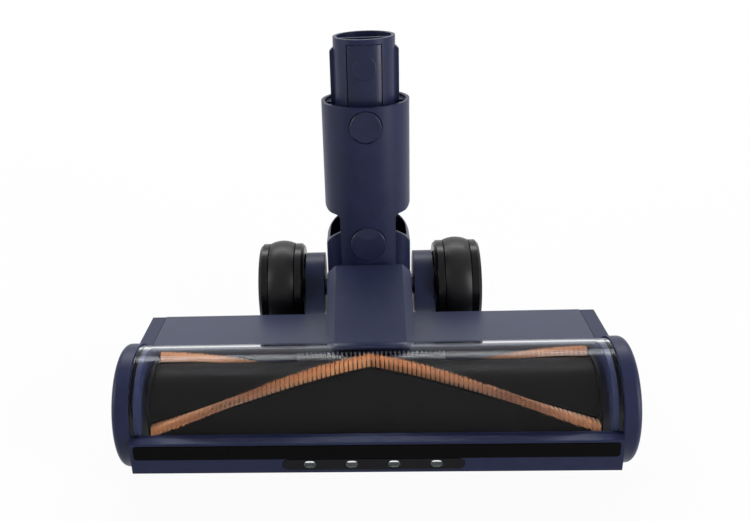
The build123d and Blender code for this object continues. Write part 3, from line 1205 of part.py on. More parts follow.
with BuildPart() as terminal_blades:
    with BuildSketch(NECK_FRONT.offset(POCKET_BACK + BLOCK_THICK)):
        for blade in range(BLADE_COUNT):
            with Locations(((blade - (BLADE_COUNT - 1) / 2) * BLADE_PITCH, BLOCK_TOP_H)):
                Rectangle(BLADE_WIDTH, BLOCK_LENGTH - WALL, align=(Align.CENTER, Align.MAX))
    extrude(amount=BLADE_THICK)
save(terminal_blades, "terminal_blades")
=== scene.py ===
"""Looks of a motorised roller floor head for a stick vacuum cleaner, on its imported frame."""

import logging
import math
import random
from collections.abc import Iterable, Sequence
from dataclasses import dataclass, field
from enum import Enum
from typing import ClassVar

import bmesh
import bpy
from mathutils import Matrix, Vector


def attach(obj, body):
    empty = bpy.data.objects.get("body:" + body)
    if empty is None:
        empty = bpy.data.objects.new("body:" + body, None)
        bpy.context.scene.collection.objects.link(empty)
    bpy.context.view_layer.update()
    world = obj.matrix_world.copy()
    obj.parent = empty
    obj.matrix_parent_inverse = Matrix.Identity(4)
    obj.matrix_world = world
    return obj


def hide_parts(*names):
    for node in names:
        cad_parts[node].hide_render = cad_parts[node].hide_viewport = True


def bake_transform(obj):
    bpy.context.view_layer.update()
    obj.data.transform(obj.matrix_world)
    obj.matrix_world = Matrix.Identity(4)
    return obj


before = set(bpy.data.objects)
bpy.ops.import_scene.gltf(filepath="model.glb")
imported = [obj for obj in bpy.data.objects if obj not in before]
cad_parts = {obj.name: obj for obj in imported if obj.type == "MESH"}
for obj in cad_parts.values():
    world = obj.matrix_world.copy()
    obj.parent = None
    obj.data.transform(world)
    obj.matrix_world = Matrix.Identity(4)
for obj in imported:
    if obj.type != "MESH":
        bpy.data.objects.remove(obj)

LOG = logging.getLogger("floor_head")
MM = 0.001
Point = tuple[float, float, float]
Colour = tuple[float, float, float]


class Side(Enum):
    """The two ends of the head, as seen in the photograph."""

    LEFT = -1
    RIGHT = 1


class Body(Enum):
    """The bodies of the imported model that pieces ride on."""

    HEAD = "head"
    ROLLER = "roller"
    YOKE = "yoke"
    NECK = "neck"
    LATCH = "latch"


class Slot(Enum):
    """Material slots of the record, one passed with each new piece."""

    BRISTLE = "tan_bristle"
    HOSE = "hose_black"
    STEEL = "bright_steel"
    LENS = "lamp_lens"
    BLACK = "black_moulding"


class NodeTree:
    """A material's node tree with short calls to add and join nodes."""

    def __init__(self, name: str) -> None:
        """Starts an empty material.

        Args:
            name: the material's name.
        """
        self.material = bpy.data.materials.new(name)
        self.material.use_nodes = True
        self.tree = self.material.node_tree
        self.tree.nodes.clear()
        self.output = self.add("ShaderNodeOutputMaterial")
        self.place = self.add("ShaderNodeTexCoord").outputs["Object"]

    def add(self, kind: str, **settings: object) -> bpy.types.Node:
        """Adds a node.

        Args:
            kind: the node's type name.
            settings: attributes to set on it.

        Returns:
            The new node.
        """
        node = self.tree.nodes.new(kind)
        for key, value in settings.items():
            setattr(node, key, value)
        return node

    def join(self, start: bpy.types.NodeSocket, end: bpy.types.NodeSocket) -> None:
        """Links an output to an input."""
        self.tree.links.new(start, end)

    def noise(self, scale: float, detail: float = 4.0, rough: float = 0.5) -> bpy.types.Node:
        """Adds a noise texture over the object's own coordinates.

        Args:
            scale: features per metre.
            detail: octaves.
            rough: weight of the fine octaves.

        Returns:
            The noise node.
        """
        node = self.add("ShaderNodeTexNoise")
        node.inputs["Scale"].default_value = scale
        node.inputs["Detail"].default_value = detail
        node.inputs["Roughness"].default_value = rough
        self.join(self.place, node.inputs["Vector"])
        return node

    def spread(self, source: bpy.types.NodeSocket, low: float, high: float) -> bpy.types.NodeSocket:
        """Maps a value from 0 to 1 onto another range.

        Args:
            source: the value.
            low: result at 0.
            high: result at 1.

        Returns:
            The mapped value's socket.
        """
        node = self.add("ShaderNodeMapRange")
        node.inputs["To Min"].default_value = low
        node.inputs["To Max"].default_value = high
        self.join(source, node.inputs["Value"])
        return node.outputs["Result"]

    def ramp(
        self, source: bpy.types.NodeSocket, stops: Sequence[tuple[float, Colour]]
    ) -> bpy.types.NodeSocket:
        """Colours a value by a ramp.

        Args:
            source: the value.
            stops: position and colour of each stop.

        Returns:
            The colour's socket.
        """
        node = self.add("ShaderNodeValToRGB")
        while len(node.color_ramp.elements) < len(stops):
            node.color_ramp.elements.new(0.5)
        for element, (position, colour) in zip(node.color_ramp.elements, stops):
            element.position = position
            element.color = (*colour, 1.0)
        self.join(source, node.inputs["Fac"])
        return node.outputs["Color"]

    def bump(self, source: bpy.types.NodeSocket, depth: float, edge: float = 0.0) -> bpy.types.NodeSocket:
        """Makes a bumped normal, over edges that are softened.

        Args:
            source: height from 0 to 1.
            depth: height of the bump in metres.
            edge: radius of the softened edges in metres, 0 for none.

        Returns:
            The normal's socket.
        """
        node = self.add("ShaderNodeBump")
        node.inputs["Distance"].default_value = depth
        self.join(source, node.inputs["Height"])
        if edge > 0:
            soft = self.add("ShaderNodeBevel", samples=6)
            soft.inputs["Radius"].default_value = edge
            self.join(soft.outputs["Normal"], node.inputs["Normal"])
        return node.outputs["Normal"]


@dataclass(frozen=True)
class Finish:
    """A moulded surface: colour with a faint mottle, grain, gloss and softened edges.

    Sizes are in metres, texture scales are features per metre and colours are linear.
    """

    name: str
    colour: Colour
    mottle: float = 0.12
    rough: tuple[float, float] = (0.38, 0.5)
    grain: float = 2600.0
    depth: float = 0.00003
    edge: float = 0.0004
    metal: float = 0.0
    level: float = 0.5
    cloud: float = 90.0
    smear: float = 240.0

    def material(self) -> bpy.types.Material:
        """Builds the node material of this finish."""
        pad = NodeTree(self.name)
        shader = pad.add("ShaderNodeBsdfPrincipled")
        shader.inputs["Metallic"].default_value = self.metal
        shader.inputs["Specular IOR Level"].default_value = self.level
        cloud = pad.noise(self.cloud, 5.0, 0.6)
        dark = tuple(part * (1 - self.mottle) for part in self.colour)
        light = tuple(part * (1 + self.mottle) for part in self.colour)
        pad.join(pad.ramp(cloud.outputs["Fac"], ((0.3, dark), (0.7, light))), shader.inputs["Base Color"])
        smear = pad.noise(self.smear, 3.0, 0.7)
        pad.join(pad.spread(smear.outputs["Fac"], *self.rough), shader.inputs["Roughness"])
        grain = pad.noise(self.grain, 2.0, 0.5)
        pad.join(pad.bump(grain.outputs["Fac"], self.depth, self.edge), shader.inputs["Normal"])
        pad.join(shader.outputs["BSDF"], pad.output.inputs["Surface"])
        return pad.material


@dataclass(frozen=True)
class ClearPlastic:
    """Clear moulded plastic that lets light through to what lies behind it."""

    name: str
    tint: Colour = (0.93, 0.95, 0.97)
    rough: tuple[float, float] = (0.01, 0.03)
    index: float = 1.46
    ripple: float = 0.00002
    smear_scale: float = 60.0
    ripple_scale: float = 14.0

    def material(self) -> bpy.types.Material:
        """Builds a glass shader whose shadow is nearly clear."""
        pad = NodeTree(self.name)
        shader = pad.add("ShaderNodeBsdfPrincipled")
        shader.inputs["Base Color"].default_value = (*self.tint, 1.0)
        shader.inputs["Transmission Weight"].default_value = 1.0
        shader.inputs["IOR"].default_value = self.index
        smear = pad.noise(self.smear_scale, 3.0, 0.6)
        pad.join(pad.spread(smear.outputs["Fac"], *self.rough), shader.inputs["Roughness"])
        ripple = pad.noise(self.ripple_scale, 2.0, 0.4)
        pad.join(pad.bump(ripple.outputs["Fac"], self.ripple), shader.inputs["Normal"])
        clear = pad.add("ShaderNodeBsdfTransparent")
        clear.inputs["Color"].default_value = (*self.tint, 1.0)
        mix = pad.add("ShaderNodeMixShader")
        path = pad.add("ShaderNodeLightPath")
        pad.join(path.outputs["Is Shadow Ray"], mix.inputs["Fac"])
        pad.join(shader.outputs["BSDF"], mix.inputs[1])
        pad.join(clear.outputs["BSDF"], mix.inputs[2])
        pad.join(mix.outputs["Shader"], pad.output.inputs["Surface"])
        return pad.material


@dataclass(frozen=True)
class BristleNylon:
    """Tan nylon filament, varied from tuft to tuft, with painted shade that darkens it towards the root."""

    name: str
    # colour at the root, darkened as painted shade
    root: Colour = (0.2, 0.07, 0.02)
    tip: Colour = (0.8, 0.34, 0.12)
    rough: float = 0.55
    sheen: float = 0.25
    fleck: float = 900.0
    depth: float = 0.00005

    def material(self) -> bpy.types.Material:
        """Builds the filament material from the colour stored on each tuft."""
        pad = NodeTree(self.name)
        shader = pad.add("ShaderNodeBsdfPrincipled")
        shader.inputs["Roughness"].default_value = self.rough
        shader.inputs["Sheen Weight"].default_value = self.sheen
        shade = pad.add("ShaderNodeAttribute", attribute_name="shade")
        # the ramp runs from the painted shade at the root to the tip's tan
        colour = pad.ramp(shade.outputs["Fac"], ((0.0, self.root), (1.0, self.tip)))
        pad.join(colour, shader.inputs["Base Color"])
        fleck = pad.noise(self.fleck, 2.0, 0.6)
        pad.join(pad.bump(fleck.outputs["Fac"], self.depth), shader.inputs["Normal"])
        pad.join(shader.outputs["BSDF"], pad.output.inputs["Surface"])
        return pad.material


@dataclass(frozen=True)
class PaintedGlow:
    """Pale reflector behind a lamp lens, with a weak emission that is painted light."""

    name: str
    colour: Colour = (0.9, 0.9, 0.88)
    # strength of the painted glow
    glow: float = 0.6
    rough: float = 0.25
    speckle: float = 1800.0
    shade: float = 0.8

    def material(self) -> bpy.types.Material:
        """Builds a pale glossy surface with a speckled phosphor and a painted glow."""
        pad = NodeTree(self.name)
        shader = pad.add("ShaderNodeBsdfPrincipled")
        shader.inputs["Roughness"].default_value = self.rough
        # painted light: the reflector glows in its own speckled colour
        shader.inputs["Emission Strength"].default_value = self.glow
        dots = pad.noise(self.speckle, 3.0, 0.6)
        dim = tuple(part * self.shade for part in self.colour)
        tone = pad.ramp(dots.outputs["Fac"], ((0.3, dim), (0.65, self.colour)))
        pad.join(tone, shader.inputs["Base Color"])
        pad.join(tone, shader.inputs["Emission Color"])
        pad.join(shader.outputs["BSDF"], pad.output.inputs["Surface"])
        return pad.material


NAVY = Finish("navy_plastic", (0.016, 0.021, 0.061), rough=(0.34, 0.44), level=0.17)
# the roof's navy: glossier, and lighter in colour as painted light, so the roof looks more lit than the other
# mouldings
NAVY_GLOSS_PAINTED_LIGHT = Finish("navy_roof_painted_light", (0.018, 0.025, 0.07), rough=(0.26, 0.34), level=0.34)
NAVY_PRESS = Finish("navy_button", (0.015, 0.02, 0.057), rough=(0.22, 0.3), edge=0.0006, level=0.21)
BLACK = Finish("black_moulding", (0.012, 0.012, 0.014), rough=(0.4, 0.5))
ROLLER_BLACK = Finish("roller_core_black", (0.003, 0.0024, 0.0024), rough=(0.3, 0.4), edge=0.0002, level=0.03)
WHEEL_GLOSS = Finish("wheel_black", (0.004, 0.004, 0.005), rough=(0.22, 0.3), depth=0.00001, level=0.16)
TYRE = Finish("tyre_black", (0.006, 0.006, 0.007), rough=(0.34, 0.44), depth=0.00002, level=0.2)
PAD = Finish("pad_black", (0.003, 0.0026, 0.003), rough=(0.6, 0.75), depth=0.00006, level=0.04)
SMOKED = Finish("smoked_bezel", (0.006, 0.006, 0.009), rough=(0.1, 0.16), depth=0.000005, level=0.12)
COMB = Finish("comb_grey", (0.2, 0.21, 0.25), rough=(0.35, 0.45), edge=0.0001)
BOARD = Finish("green_board", (0.012, 0.09, 0.04), mottle=0.3, rough=(0.3, 0.45))
STEEL = Finish("bright_steel", (0.56, 0.56, 0.58), rough=(0.2, 0.34), metal=1.0, depth=0.00001)
PIN_STEEL = Finish("pin_steel", (0.07, 0.07, 0.075), rough=(0.3, 0.42), metal=1.0, depth=0.00001)
BRONZE = Finish("bearing_bronze", (0.62, 0.42, 0.2), rough=(0.28, 0.4), metal=1.0, depth=0.00001)
HOSE = Finish("hose_black", (0.012, 0.012, 0.014), rough=(0.45, 0.6), edge=0.0002)
WINDOW = ClearPlastic("window_clear", index=1.15)
LENS = ClearPlastic("lamp_lens", index=1.4)
BRISTLE = BristleNylon("bristle_tan")
# painted glow for the reflectors behind the lamp lenses
PAINTED_GLOW = PaintedGlow("painted_reflector_glow")


class Workshop:
    """Makes meshes into pieces and remembers the materials that were built."""

    made: ClassVar[dict[str, bpy.types.Material]] = {}

    @classmethod
    def finish(cls, finish: Finish | ClearPlastic | BristleNylon | PaintedGlow) -> bpy.types.Material:
        """Gives a finish's material, built once."""
        if finish.name not in cls.made:
            cls.made[finish.name] = finish.material()
        return cls.made[finish.name]

    @classmethod
    def dress(cls, node: str, finish: Finish | ClearPlastic | BristleNylon | PaintedGlow) -> None:
        """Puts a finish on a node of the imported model.

        Args:
            node: the node's name.
            finish: its finish.
        """
        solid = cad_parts[node]
        solid.data.materials.clear()
        solid.data.materials.append(cls.finish(finish))
        LOG.info("dressed %s as %s", node, finish.name)

    @classmethod
    def piece(
        cls,
        name: str,
        mesh: bmesh.types.BMesh,
        finish: Finish | ClearPlastic | BristleNylon | PaintedGlow,
        slot: Slot,
        smooth: bool = True,
    ) -> bpy.types.Object:
        """Turns a mesh into a piece of the scene.

        Args:
            name: the piece's name.
            mesh: its mesh, which is used up.
            finish: its finish.
            slot: the record's slot that the finish belongs to; not used.
            smooth: whether its faces are shaded smooth.

        Returns:
            The new object.
        """
        data = bpy.data.meshes.new(name)
        for face in mesh.faces:
            face.smooth = smooth
        mesh.to_mesh(data)
        mesh.free()
        data.materials.append(cls.finish(finish))
        made = bpy.data.objects.new(name, data)
        bpy.context.scene.collection.objects.link(made)
        LOG.info("built %s with %d faces", name, len(data.polygons))
        return made


def tube_along(
    mesh: bmesh.types.BMesh,
    spots: Sequence[tuple[Vector, Vector, float]],
    sides: int,
) -> None:
    """Skins a round tube over rings along a path in the YZ plane.

    Args:
        mesh: the mesh to add to.
        spots: centre, direction and radius of each ring.
        sides: points round a ring.
    """
    across = Vector((1, 0, 0))
    rings: list[list[bmesh.types.BMVert]] = []
    for centre, along, radius in spots:
        up = along.cross(across).normalized()
        ring = []
        for step in range(sides):
            turn = 2 * math.pi * step / sides
            ring.append(mesh.verts.new(centre + radius * (math.cos(turn) * across + math.sin(turn) * up)))
        rings.append(ring)
    for first, second in zip(rings, rings[1:]):
        for step in range(sides):
            after = (step + 1) % sides
            mesh.faces.new((first[step], first[after], second[after], second[step]))


@dataclass
class BristleRoller:
    """Black roller core with tan bristle strips laid as a V; sizes in millimetres."""

    axis_y: float = -54.982
    axis_z: float = 27.0
    core: float = 20.5
    tip: float = 26.5
    half: float = 107.5
    width: float = 4.3
    apex: float = 101.0
    twist: float = 92.0
    strips: int = 3
    step: float = 0.44
    rows: int = 7
    tuft: float = 2.2
    gather: float = 0.66
    spread: float = 0.7
    thick: float = 0.22
    lean: float = 0.6
    uneven: float = 1.1
    stray: float = 0.15
    sunk: float = 0.5
    waist: float = 2.6
    nodes: dict[str, Finish] = field(
        default_factory=lambda: {
            "roller_core": ROLLER_BLACK,
            "left_roller_cap": ROLLER_BLACK,
            "right_roller_cap": ROLLER_BLACK,
            "roller_shaft": STEEL,
            "roller_pulley": BLACK,
        }
    )

    def spot(self, x: float, radius: float, turn: float) -> Vector:
        """Gives a point about the roller's axis, in metres.

        Args:
            x: place along the roller.
            radius: distance from the axis.
            turn: angle about the axis from the rear horizontal, in radians.

        Returns:
            The point.
        """
        y = self.axis_y + radius * math.cos(turn)
        z = self.axis_z + radius * math.sin(turn)
        return Vector((x, y, z)) * MM

    def build(self) -> bpy.types.Object:
        """Grows the bristles filament by filament.

        Returns:
            The bristle piece.
        """
        chance = random.Random(7)
        mesh = bmesh.new()
        shade = mesh.verts.layers.float.new("shade")
        count = int(self.half / self.step)
        for strip in range(self.strips):
            base = math.radians(180 - self.apex + strip * 360 / self.strips)
            for side in Side:
                for place in range(count):
                    x = (place + 0.5) * self.step
                    for row in range(self.rows):
                        self.filament(mesh, shade, chance, base, side, x, row)
        made = Workshop.piece("bristle_tufts", mesh, BRISTLE, Slot.BRISTLE, smooth=False)
        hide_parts("bristle_strips")
        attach(made, Body.ROLLER.value)
        return made

    def filament(
        self,
        mesh: bmesh.types.BMesh,
        shade: object,
        chance: random.Random,
        base: float,
        side: Side,
        x: float,
        row: int,
    ) -> None:
        """Adds one tapered filament.

        Args:
            mesh: the bristle mesh.
            shade: the layer that holds each point's shade.
            chance: seeded random source.
            base: angle of the strip's apex.
            side: which half of the strip.
            x: place along the half.
            row: row across the strip.
        """
        middle = (math.floor(x / self.tuft) + 0.5) * self.tuft
        turn = base + math.radians(self.twist) * x / self.half
        over = ((row + 0.5) / self.rows - 0.5) * self.width
        lean = chance.uniform(-self.lean, self.lean)
        tip = self.tip - chance.uniform(0.0, self.uneven)
        # random tone per filament, with painted shade towards the edges of each tuft
        tone = chance.uniform(0.7, 1.0) * (1.0 - 0.35 * abs(x - middle) / self.tuft)
        levels = ((self.core - self.sunk, 1.0, 0.0), (self.tip - self.waist, 0.9, 0.4), (tip, 0.45, 1.0))
        rings = []
        for radius, share, rise in levels:
            middle_turn = turn + (over + lean * rise) / radius
            reach = self.gather + (1 - self.gather) * rise * self.spread
            stray = chance.uniform(-self.stray, self.stray) * rise
            middle_x = side.value * (middle + (x - middle) * reach + stray)
            thick = self.thick * share
            ring = []
            for corner in range(3):
                angle = 2 * math.pi * corner / 3
                point = self.spot(
                    middle_x + thick * math.cos(angle),
                    radius,
                    middle_turn + thick * math.sin(angle) / radius,
                )
                vert = mesh.verts.new(point)
                # painted shade: darker towards the root
                vert[shade] = tone * (0.2 + 0.8 * rise)
                ring.append(vert)
            rings.append(ring)
        for low, high in zip(rings, rings[1:]):
            for corner in range(3):
                after = (corner + 1) % 3
                mesh.faces.new((low[corner], low[after], high[after], high[corner]))
        mesh.faces.new(rings[-1])

    def dress(self) -> None:
        """Finishes the roller's solids."""
        for node, finish in self.nodes.items():
            Workshop.dress(node, finish)


@dataclass
class AirHoses:
    """Ribbed hoses of the duct and of the swivel; sizes in millimetres."""

    pivot_y: float = 47.218
    pivot_z: float = 27.6
    lean: float = 10.5
    radius: float = 11.6
    wave: float = 0.55
    pitch: float = 4.2
    start_y: float = 23.318
    duct_z: float = 26.0
    deck: float = 20.0
    low: float = 22.0
    high: float = 58.0
    rings: int = 72
    sides: int = 40

    def on_neck(self, height: float) -> Vector:
        """Gives a point on the neck's axis at a height along it."""
        lean = math.radians(self.lean)
        y = self.pivot_y + height * math.sin(lean)
        z = self.pivot_z + height * math.cos(lean)
        return Vector((0, y, z))

    def ribbed(self, run: float) -> float:
        """Gives the hose's radius at a length along it."""
        return self.radius + self.wave * math.cos(2 * math.pi * run / self.pitch)

    def duct_spots(self) -> list[tuple[Vector, Vector, float]]:
        """Rings of the duct hose, from the hump's rear wall round into the yoke.

        Returns:
            Centre, direction and radius of each ring, in metres.
        """
        end = self.on_neck(self.deck)
        turn = math.radians(90 - self.lean)
        bend = (end.z - self.duct_z) / (1 - math.cos(turn))
        first = end.y - bend * math.sin(turn)
        length = first - self.start_y + bend * turn
        spots = []
        for step in range(self.rings + 1):
            run = length * step / self.rings
            angle = max(0.0, run - (first - self.start_y)) / bend
            y = min(self.start_y + run, first) + bend * math.sin(angle)
            z = self.duct_z + bend * (1 - math.cos(angle))
            along = Vector((0, math.cos(angle), math.sin(angle)))
            spots.append((Vector((0, y, z)) * MM, along, self.ribbed(run) * MM))
        return spots

    def build(self) -> list[bpy.types.Object]:
        """Builds both hoses.

        Returns:
            The duct hose and the swivel hose.
        """
        spots = self.duct_spots()
        mesh = bmesh.new()
        tube_along(mesh, spots, self.sides)
        duct = Workshop.piece("duct_bellows", mesh, HOSE, Slot.HOSE)
        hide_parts("duct_hose")
        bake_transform(duct)
        along = (self.on_neck(1) - self.on_neck(0)).normalized()
        straight = []
        for step in range(self.rings + 1):
            run = (self.high - self.low) * step / self.rings
            straight.append((self.on_neck(self.low + run) * MM, along, self.ribbed(run) * MM))
        mesh = bmesh.new()
        tube_along(mesh, straight, self.sides)
        swivel = Workshop.piece("swivel_bellows", mesh, HOSE, Slot.HOSE)
        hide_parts("swivel_hose")
        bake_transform(swivel)
        return [duct, swivel]


@dataclass
class Housing:
    """Head mouldings, window, bumper and what they hold."""

    nodes: dict[str, Finish | ClearPlastic] = field(
        default_factory=lambda: {
            "base_housing": NAVY,
            "rear_chassis": NAVY,
            "top_housing": NAVY_GLOSS_PAINTED_LIGHT,
            "left_side_cover": NAVY,
            "right_side_cover": NAVY,
            "front_bumper": NAVY,
            "roller_window": WINDOW,
            "bumper_pad": PAD,
            "lamp_bezel": SMOKED,
            "lamp_lenses": LENS,
            "lamp_board": BOARD,
            "hair_comb": COMB,
            "brush_motor": STEEL,
            "motor_end_bell": BLACK,
            "rotor_core": STEEL,
            "motor_shaft": STEEL,
            "motor_pulley": BLACK,
            "drive_belt": HOSE,
            "left_roller_bush": BRONZE,
            "right_roller_bush": BRONZE,
            "control_board": BOARD,
            "sole_screws": STEEL,
            "sole_wheel_pins": STEEL,
            "left_sole_wheel": BLACK,
            "right_sole_wheel": BLACK,
        }
    )

    def dress(self) -> None:
        """Finishes the head's solids."""
        for node, finish in self.nodes.items():
            Workshop.dress(node, finish)


@dataclass
class LampRow:
    """Painted reflections: pale upper halves of the reflectors behind the lamp lenses; sizes in millimetres
    on the bumper's leaning face.
    """

    foot_y: float = -91.582
    foot_z: float = 15.3
    rise_y: float = 2.6
    rise_z: float = 16.7
    middle: float = 4.65
    depth: float = 2.3
    pitch: float = 20.0
    count: int = 4
    length: float = 5.2
    height: float = 1.8
    steps: int = 12

    def spot(self, x: float, up: float, out: float) -> Vector:
        """Gives a point on the bumper's face in metres.

        Args:
            x: place along the bumper.
            up: distance up the face.
            out: distance out of the face.

        Returns:
            The point.
        """
        rise = Vector((0, self.rise_y, self.rise_z)).normalized()
        normal = Vector((1, 0, 0)).cross(rise)
        return (Vector((x, self.foot_y, self.foot_z)) + up * rise + out * normal) * MM

    def build(self) -> bpy.types.Object:
        """Cuts one half-round painted reflection, the bright upper half of a reflector, for each lamp.

        Returns:
            The reflectors as one piece.
        """
        mesh = bmesh.new()
        for lamp in range(self.count):
            centre = (lamp - (self.count - 1) / 2) * self.pitch
            rim = [self.spot(centre - self.length / 2, self.middle, -self.depth)]
            rim.append(self.spot(centre + self.length / 2, self.middle, -self.depth))
            for step in range(1, self.steps):
                turn = math.pi * step / self.steps
                x = centre + self.length / 2 * math.cos(turn)
                up = self.middle + self.height * math.sqrt(math.sin(turn))
                rim.append(self.spot(x, up, -self.depth))
            mesh.faces.new([mesh.verts.new(point) for point in rim])
        made = Workshop.piece("painted_reflector_highlights", mesh, PAINTED_GLOW, Slot.LENS, smooth=False)
        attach(made, Body.HEAD.value)
        return made


@dataclass
class SoleScrews:
    """Painted shade in the cross recesses of the four screws in the sole; sizes in millimetres."""

    inner: tuple[float, float] = (30.5, -12.982)
    outer: tuple[float, float] = (52.0, -0.982)
    face_z: float = 3.15
    arm: float = 1.9
    half: float = 0.45

    def build(self) -> bpy.types.Object:
        """Lays a dark cross on each screw head as painted shade of its recess.

        Returns:
            The crosses as one piece.
        """
        mesh = bmesh.new()
        for side in Side:
            for x, y in (self.inner, self.outer):
                for long, short in ((self.arm, self.half), (self.half, self.arm)):
                    corners_xy = ((-long, -short), (-long, short), (long, short), (long, -short))
                    spots = [Vector((side.value * x + dx, y + dy, self.face_z)) * MM for dx, dy in corners_xy]
                    mesh.faces.new([mesh.verts.new(spot) for spot in spots])
        made = Workshop.piece("screw_recess_painted_shade", mesh, BLACK, Slot.BLACK, smooth=False)
        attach(made, Body.HEAD.value)
        return made


@dataclass
class Wheels:
    """Rear wheels on their axle pins."""

    def dress(self) -> None:
        """Finishes the hubs, tyres, caps and pins on both sides."""
        for side in Side:
            word = side.name.lower()
            Workshop.dress(f"{word}_wheel_hub", WHEEL_GLOSS)
            Workshop.dress(f"{word}_wheel_tyre", TYRE)
            Workshop.dress(f"{word}_hub_cap", WHEEL_GLOSS)
            Workshop.dress(f"{word}_axle_pin", PIN_STEEL)


@dataclass
class Neck:
    """Yoke, neck, spigot and wand latch; sizes in millimetres along the neck and back from its axis."""

    pivot_y: float = 47.218
    pivot_z: float = 27.6
    lean: float = 10.5
    wall: float = -8.0
    tongue: float = -14.0
    foot: float = 100.0
    run: float = 8.0
    flat: float = 0.8
    steps: int = 12
    thick: float = 0.5
    width: float = 5.0
    nodes: dict[str, Finish] = field(
        default_factory=lambda: {
            "yoke_shell": NAVY,
            "neck_tube": NAVY,
            "wand_spigot": NAVY,
            "front_swivel_pin": NAVY_PRESS,
            "rear_swivel_pin": NAVY_PRESS,
            "latch_tongue": NAVY_PRESS,
            "release_button": NAVY_PRESS,
            "terminal_block": BLACK,
            "terminal_blades": BRONZE,
        }
    )

    def spot(self, x: float, back: float, height: float) -> Vector:
        """Gives a point of the neck in metres.

        Args:
            x: place across the neck.
            back: distance behind its axis.
            height: distance along its axis from the pivot.

        Returns:
            The point in the row frame.
        """
        lean = math.radians(self.lean)
        y = self.pivot_y + height * math.sin(lean) + back * math.cos(lean)
        z = self.pivot_z + height * math.cos(lean) - back * math.sin(lean)
        return Vector((x, y, z)) * MM

    def build(self) -> bpy.types.Object:
        """Bends the latch's leaf spring, which sits between the neck and the latch.

        Returns:
            The spring piece.
        """
        seat = self.wall - self.thick / 2
        line = [(seat, self.foot), (seat, self.foot + self.run * self.flat)]
        for step in range(1, self.steps + 1):
            share = step / self.steps
            ease = share * share * (3 - 2 * share)
            height = self.foot + self.run * (self.flat + (2 - self.flat) * share)
            line.append((self.wall + (self.tongue - self.wall) * ease, height))
        mesh = bmesh.new()
        rows = []
        for back, height in line:
            rows.append(
                [
                    mesh.verts.new(self.spot(x, back + rise, height))
                    for x, rise in (
                        (-self.width / 2, -self.thick / 2),
                        (self.width / 2, -self.thick / 2),
                        (self.width / 2, self.thick / 2),
                        (-self.width / 2, self.thick / 2),
                    )
                ]
            )
        for first, second in zip(rows, rows[1:]):
            for corner in range(4):
                after = (corner + 1) % 4
                mesh.faces.new((first[corner], first[after], second[after], second[corner]))
        mesh.faces.new(rows[0][::-1])
        mesh.faces.new(rows[-1])
        leaf = Workshop.piece("latch_leaf", mesh, STEEL, Slot.STEEL, smooth=False)
        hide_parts("latch_spring")
        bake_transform(leaf)
        return leaf

    def dress(self) -> None:
        """Finishes the neck's solids."""
        for node, finish in self.nodes.items():
            Workshop.dress(node, finish)


@dataclass(frozen=True)
class SoftBox:
    """One soft box: where it hangs, its width and height in metres, its power in watts."""

    name: str
    place: Point
    size: tuple[float, float]
    power: float

    def hang(self, aim: Point) -> None:
        """Hangs the lamp and points it.

        Args:
            aim: what it points at.
        """
        data = bpy.data.lights.new(self.name, "AREA")
        data.shape = "RECTANGLE"
        data.size, data.size_y = self.size
        data.energy = self.power
        made = bpy.data.objects.new(self.name, data)
        made.location = self.place
        made.rotation_euler = (Vector(aim) - Vector(self.place)).to_track_quat("-Z", "Y").to_euler()
        bpy.context.scene.collection.objects.link(made)


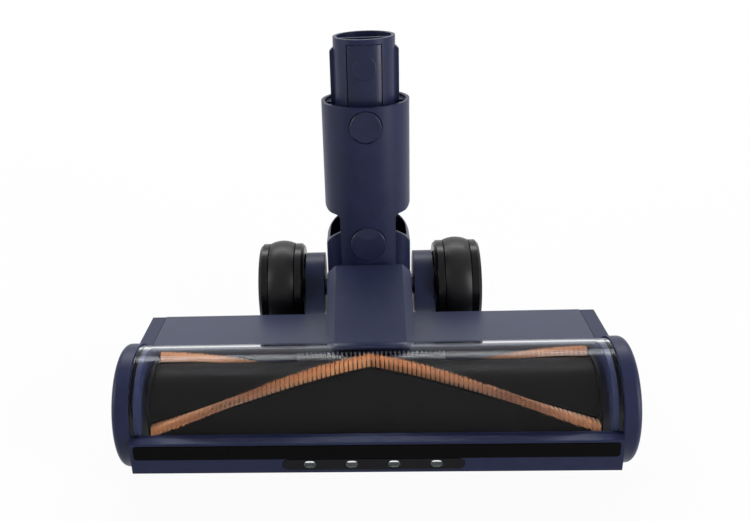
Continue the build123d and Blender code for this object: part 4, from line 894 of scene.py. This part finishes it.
@dataclass
class Studio:
    """Pale floor, soft light and the photograph's camera; lengths in metres, angles in degrees."""

    eye: Point = (0.0009, -0.3888, 0.3308)
    turn: Point = (56.84, 3.04, 2.3)
    lens: float = 42.37
    shift: float = 0.08
    floor_size: float = 8.0
    floor_colour: Colour = (0.8, 0.8, 0.81)
    floor_white: float = 0.95
    floor_drop: float = 0.0002
    front: float = 0.05
    back: float = 1.0
    edge: tuple[float, float] = (0.05, 0.75)
    tint: Colour = (0.97, 0.98, 1.0)
    middle: Point = (0.0, 0.0, 0.05)
    boxes: tuple[SoftBox, ...] = (
        SoftBox("top_box", (0.0, 0.97, 0.88), (1.4, 0.28), 12.0),
        SoftBox("left_box", (-1.0, -0.2, 0.5), (0.3, 0.8), 5.0),
        SoftBox("right_box", (0.95, -0.5, 0.4), (0.25, 0.8), 9.0),
    )

    def camera(self) -> None:
        """Sets the camera at the photograph's angle."""
        data = bpy.data.cameras.new("photo_camera")
        data.lens = self.lens
        data.sensor_width = 36.0
        data.shift_x = self.shift
        data.clip_start = 0.01
        made = bpy.data.objects.new("photo_camera", data)
        made.location = self.eye
        made.rotation_euler = tuple(math.radians(part) for part in self.turn)
        bpy.context.scene.collection.objects.link(made)
        bpy.context.scene.camera = made

    def floor(self) -> None:
        """Lays the floor, white to the camera and in gloss and glass, but with the object's shadow."""
        pad = NodeTree("studio_floor")
        flat = pad.add("ShaderNodeBsdfDiffuse")
        flat.inputs["Color"].default_value = (*self.floor_colour, 1.0)
        glow = pad.add("ShaderNodeEmission")
        glow.inputs["Color"].default_value = (1.0, 1.0, 1.0, 1.0)
        share = pad.add("ShaderNodeMath", operation="MULTIPLY")
        share.inputs[1].default_value = self.floor_white
        pad.join(self.seen(pad.tree), share.inputs[0])
        mix = pad.add("ShaderNodeMixShader")
        pad.join(share.outputs["Value"], mix.inputs["Fac"])
        pad.join(flat.outputs["BSDF"], mix.inputs[1])
        pad.join(glow.outputs["Emission"], mix.inputs[2])
        pad.join(mix.outputs["Shader"], pad.output.inputs["Surface"])
        mesh = bmesh.new()
        bmesh.ops.create_grid(mesh, x_segments=4, y_segments=4, size=self.floor_size / 2)
        data = bpy.data.meshes.new("studio_floor")
        mesh.to_mesh(data)
        mesh.free()
        data.materials.append(pad.material)
        made = bpy.data.objects.new("studio_floor", data)
        made.location = (0, 0, -self.floor_drop)
        bpy.context.scene.collection.objects.link(made)

    @staticmethod
    def seen(tree: bpy.types.NodeTree) -> bpy.types.NodeSocket:
        """Tells the rays that see the background from those that only carry light.

        Args:
            tree: the node tree to add to.

        Returns:
            A socket that is 1 for camera, glossy and transmission rays.
        """
        path = tree.nodes.new("ShaderNodeLightPath")
        either = path.outputs["Is Camera Ray"]
        for ray in ("Is Glossy Ray", "Is Transmission Ray"):
            most = tree.nodes.new("ShaderNodeMath")
            most.operation = "MAXIMUM"
            tree.links.new(either, most.inputs[0])
            tree.links.new(path.outputs[ray], most.inputs[1])
            either = most.outputs["Value"]
        return either

    def sky(self) -> None:
        """Fills the world with a white backdrop, and lights the object mostly from behind."""
        world = bpy.data.worlds.new("studio_sky")
        bpy.context.scene.world = world
        world.use_nodes = True
        tree = world.node_tree
        tree.nodes.clear()
        output = tree.nodes.new("ShaderNodeOutputWorld")
        way = tree.nodes.new("ShaderNodeTexCoord")
        parts = tree.nodes.new("ShaderNodeSeparateXYZ")
        tree.links.new(way.outputs["Generated"], parts.inputs["Vector"])
        fade = tree.nodes.new("ShaderNodeMapRange")
        fade.interpolation_type = "SMOOTHSTEP"
        fade.inputs["From Min"].default_value, fade.inputs["From Max"].default_value = self.edge
        fade.inputs["To Min"].default_value = self.front
        fade.inputs["To Max"].default_value = self.back
        tree.links.new(parts.outputs["Y"], fade.inputs["Value"])
        soft = tree.nodes.new("ShaderNodeBackground")
        soft.inputs["Color"].default_value = (*self.tint, 1.0)
        tree.links.new(fade.outputs["Result"], soft.inputs["Strength"])
        white = tree.nodes.new("ShaderNodeBackground")
        white.inputs["Color"].default_value = (1.0, 1.0, 1.0, 1.0)
        white.inputs["Strength"].default_value = 1.0
        mix = tree.nodes.new("ShaderNodeMixShader")
        tree.links.new(self.seen(tree), mix.inputs["Fac"])
        tree.links.new(soft.outputs["Background"], mix.inputs[1])
        tree.links.new(white.outputs["Background"], mix.inputs[2])
        tree.links.new(mix.outputs["Shader"], output.inputs["Surface"])

    def build(self) -> None:
        """Sets up floor, sky, lamps and camera."""
        self.camera()
        self.floor()
        self.sky()
        for box in self.boxes:
            box.hang(self.middle)
        bpy.context.scene.view_settings.view_transform = "Standard"
        LOG.info("studio set")


def main() -> None:
    """Builds and dresses every sub-assembly."""
    logging.basicConfig(level=logging.INFO)
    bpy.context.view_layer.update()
    Studio().build()
    Housing().dress()
    LampRow().build()
    SoleScrews().build()
    roller = BristleRoller()
    roller.dress()
    roller.build()
    Wheels().dress()
    AirHoses().build()
    neck = Neck()
    neck.dress()
    neck.build()


if __name__ == "__main__":
    main()
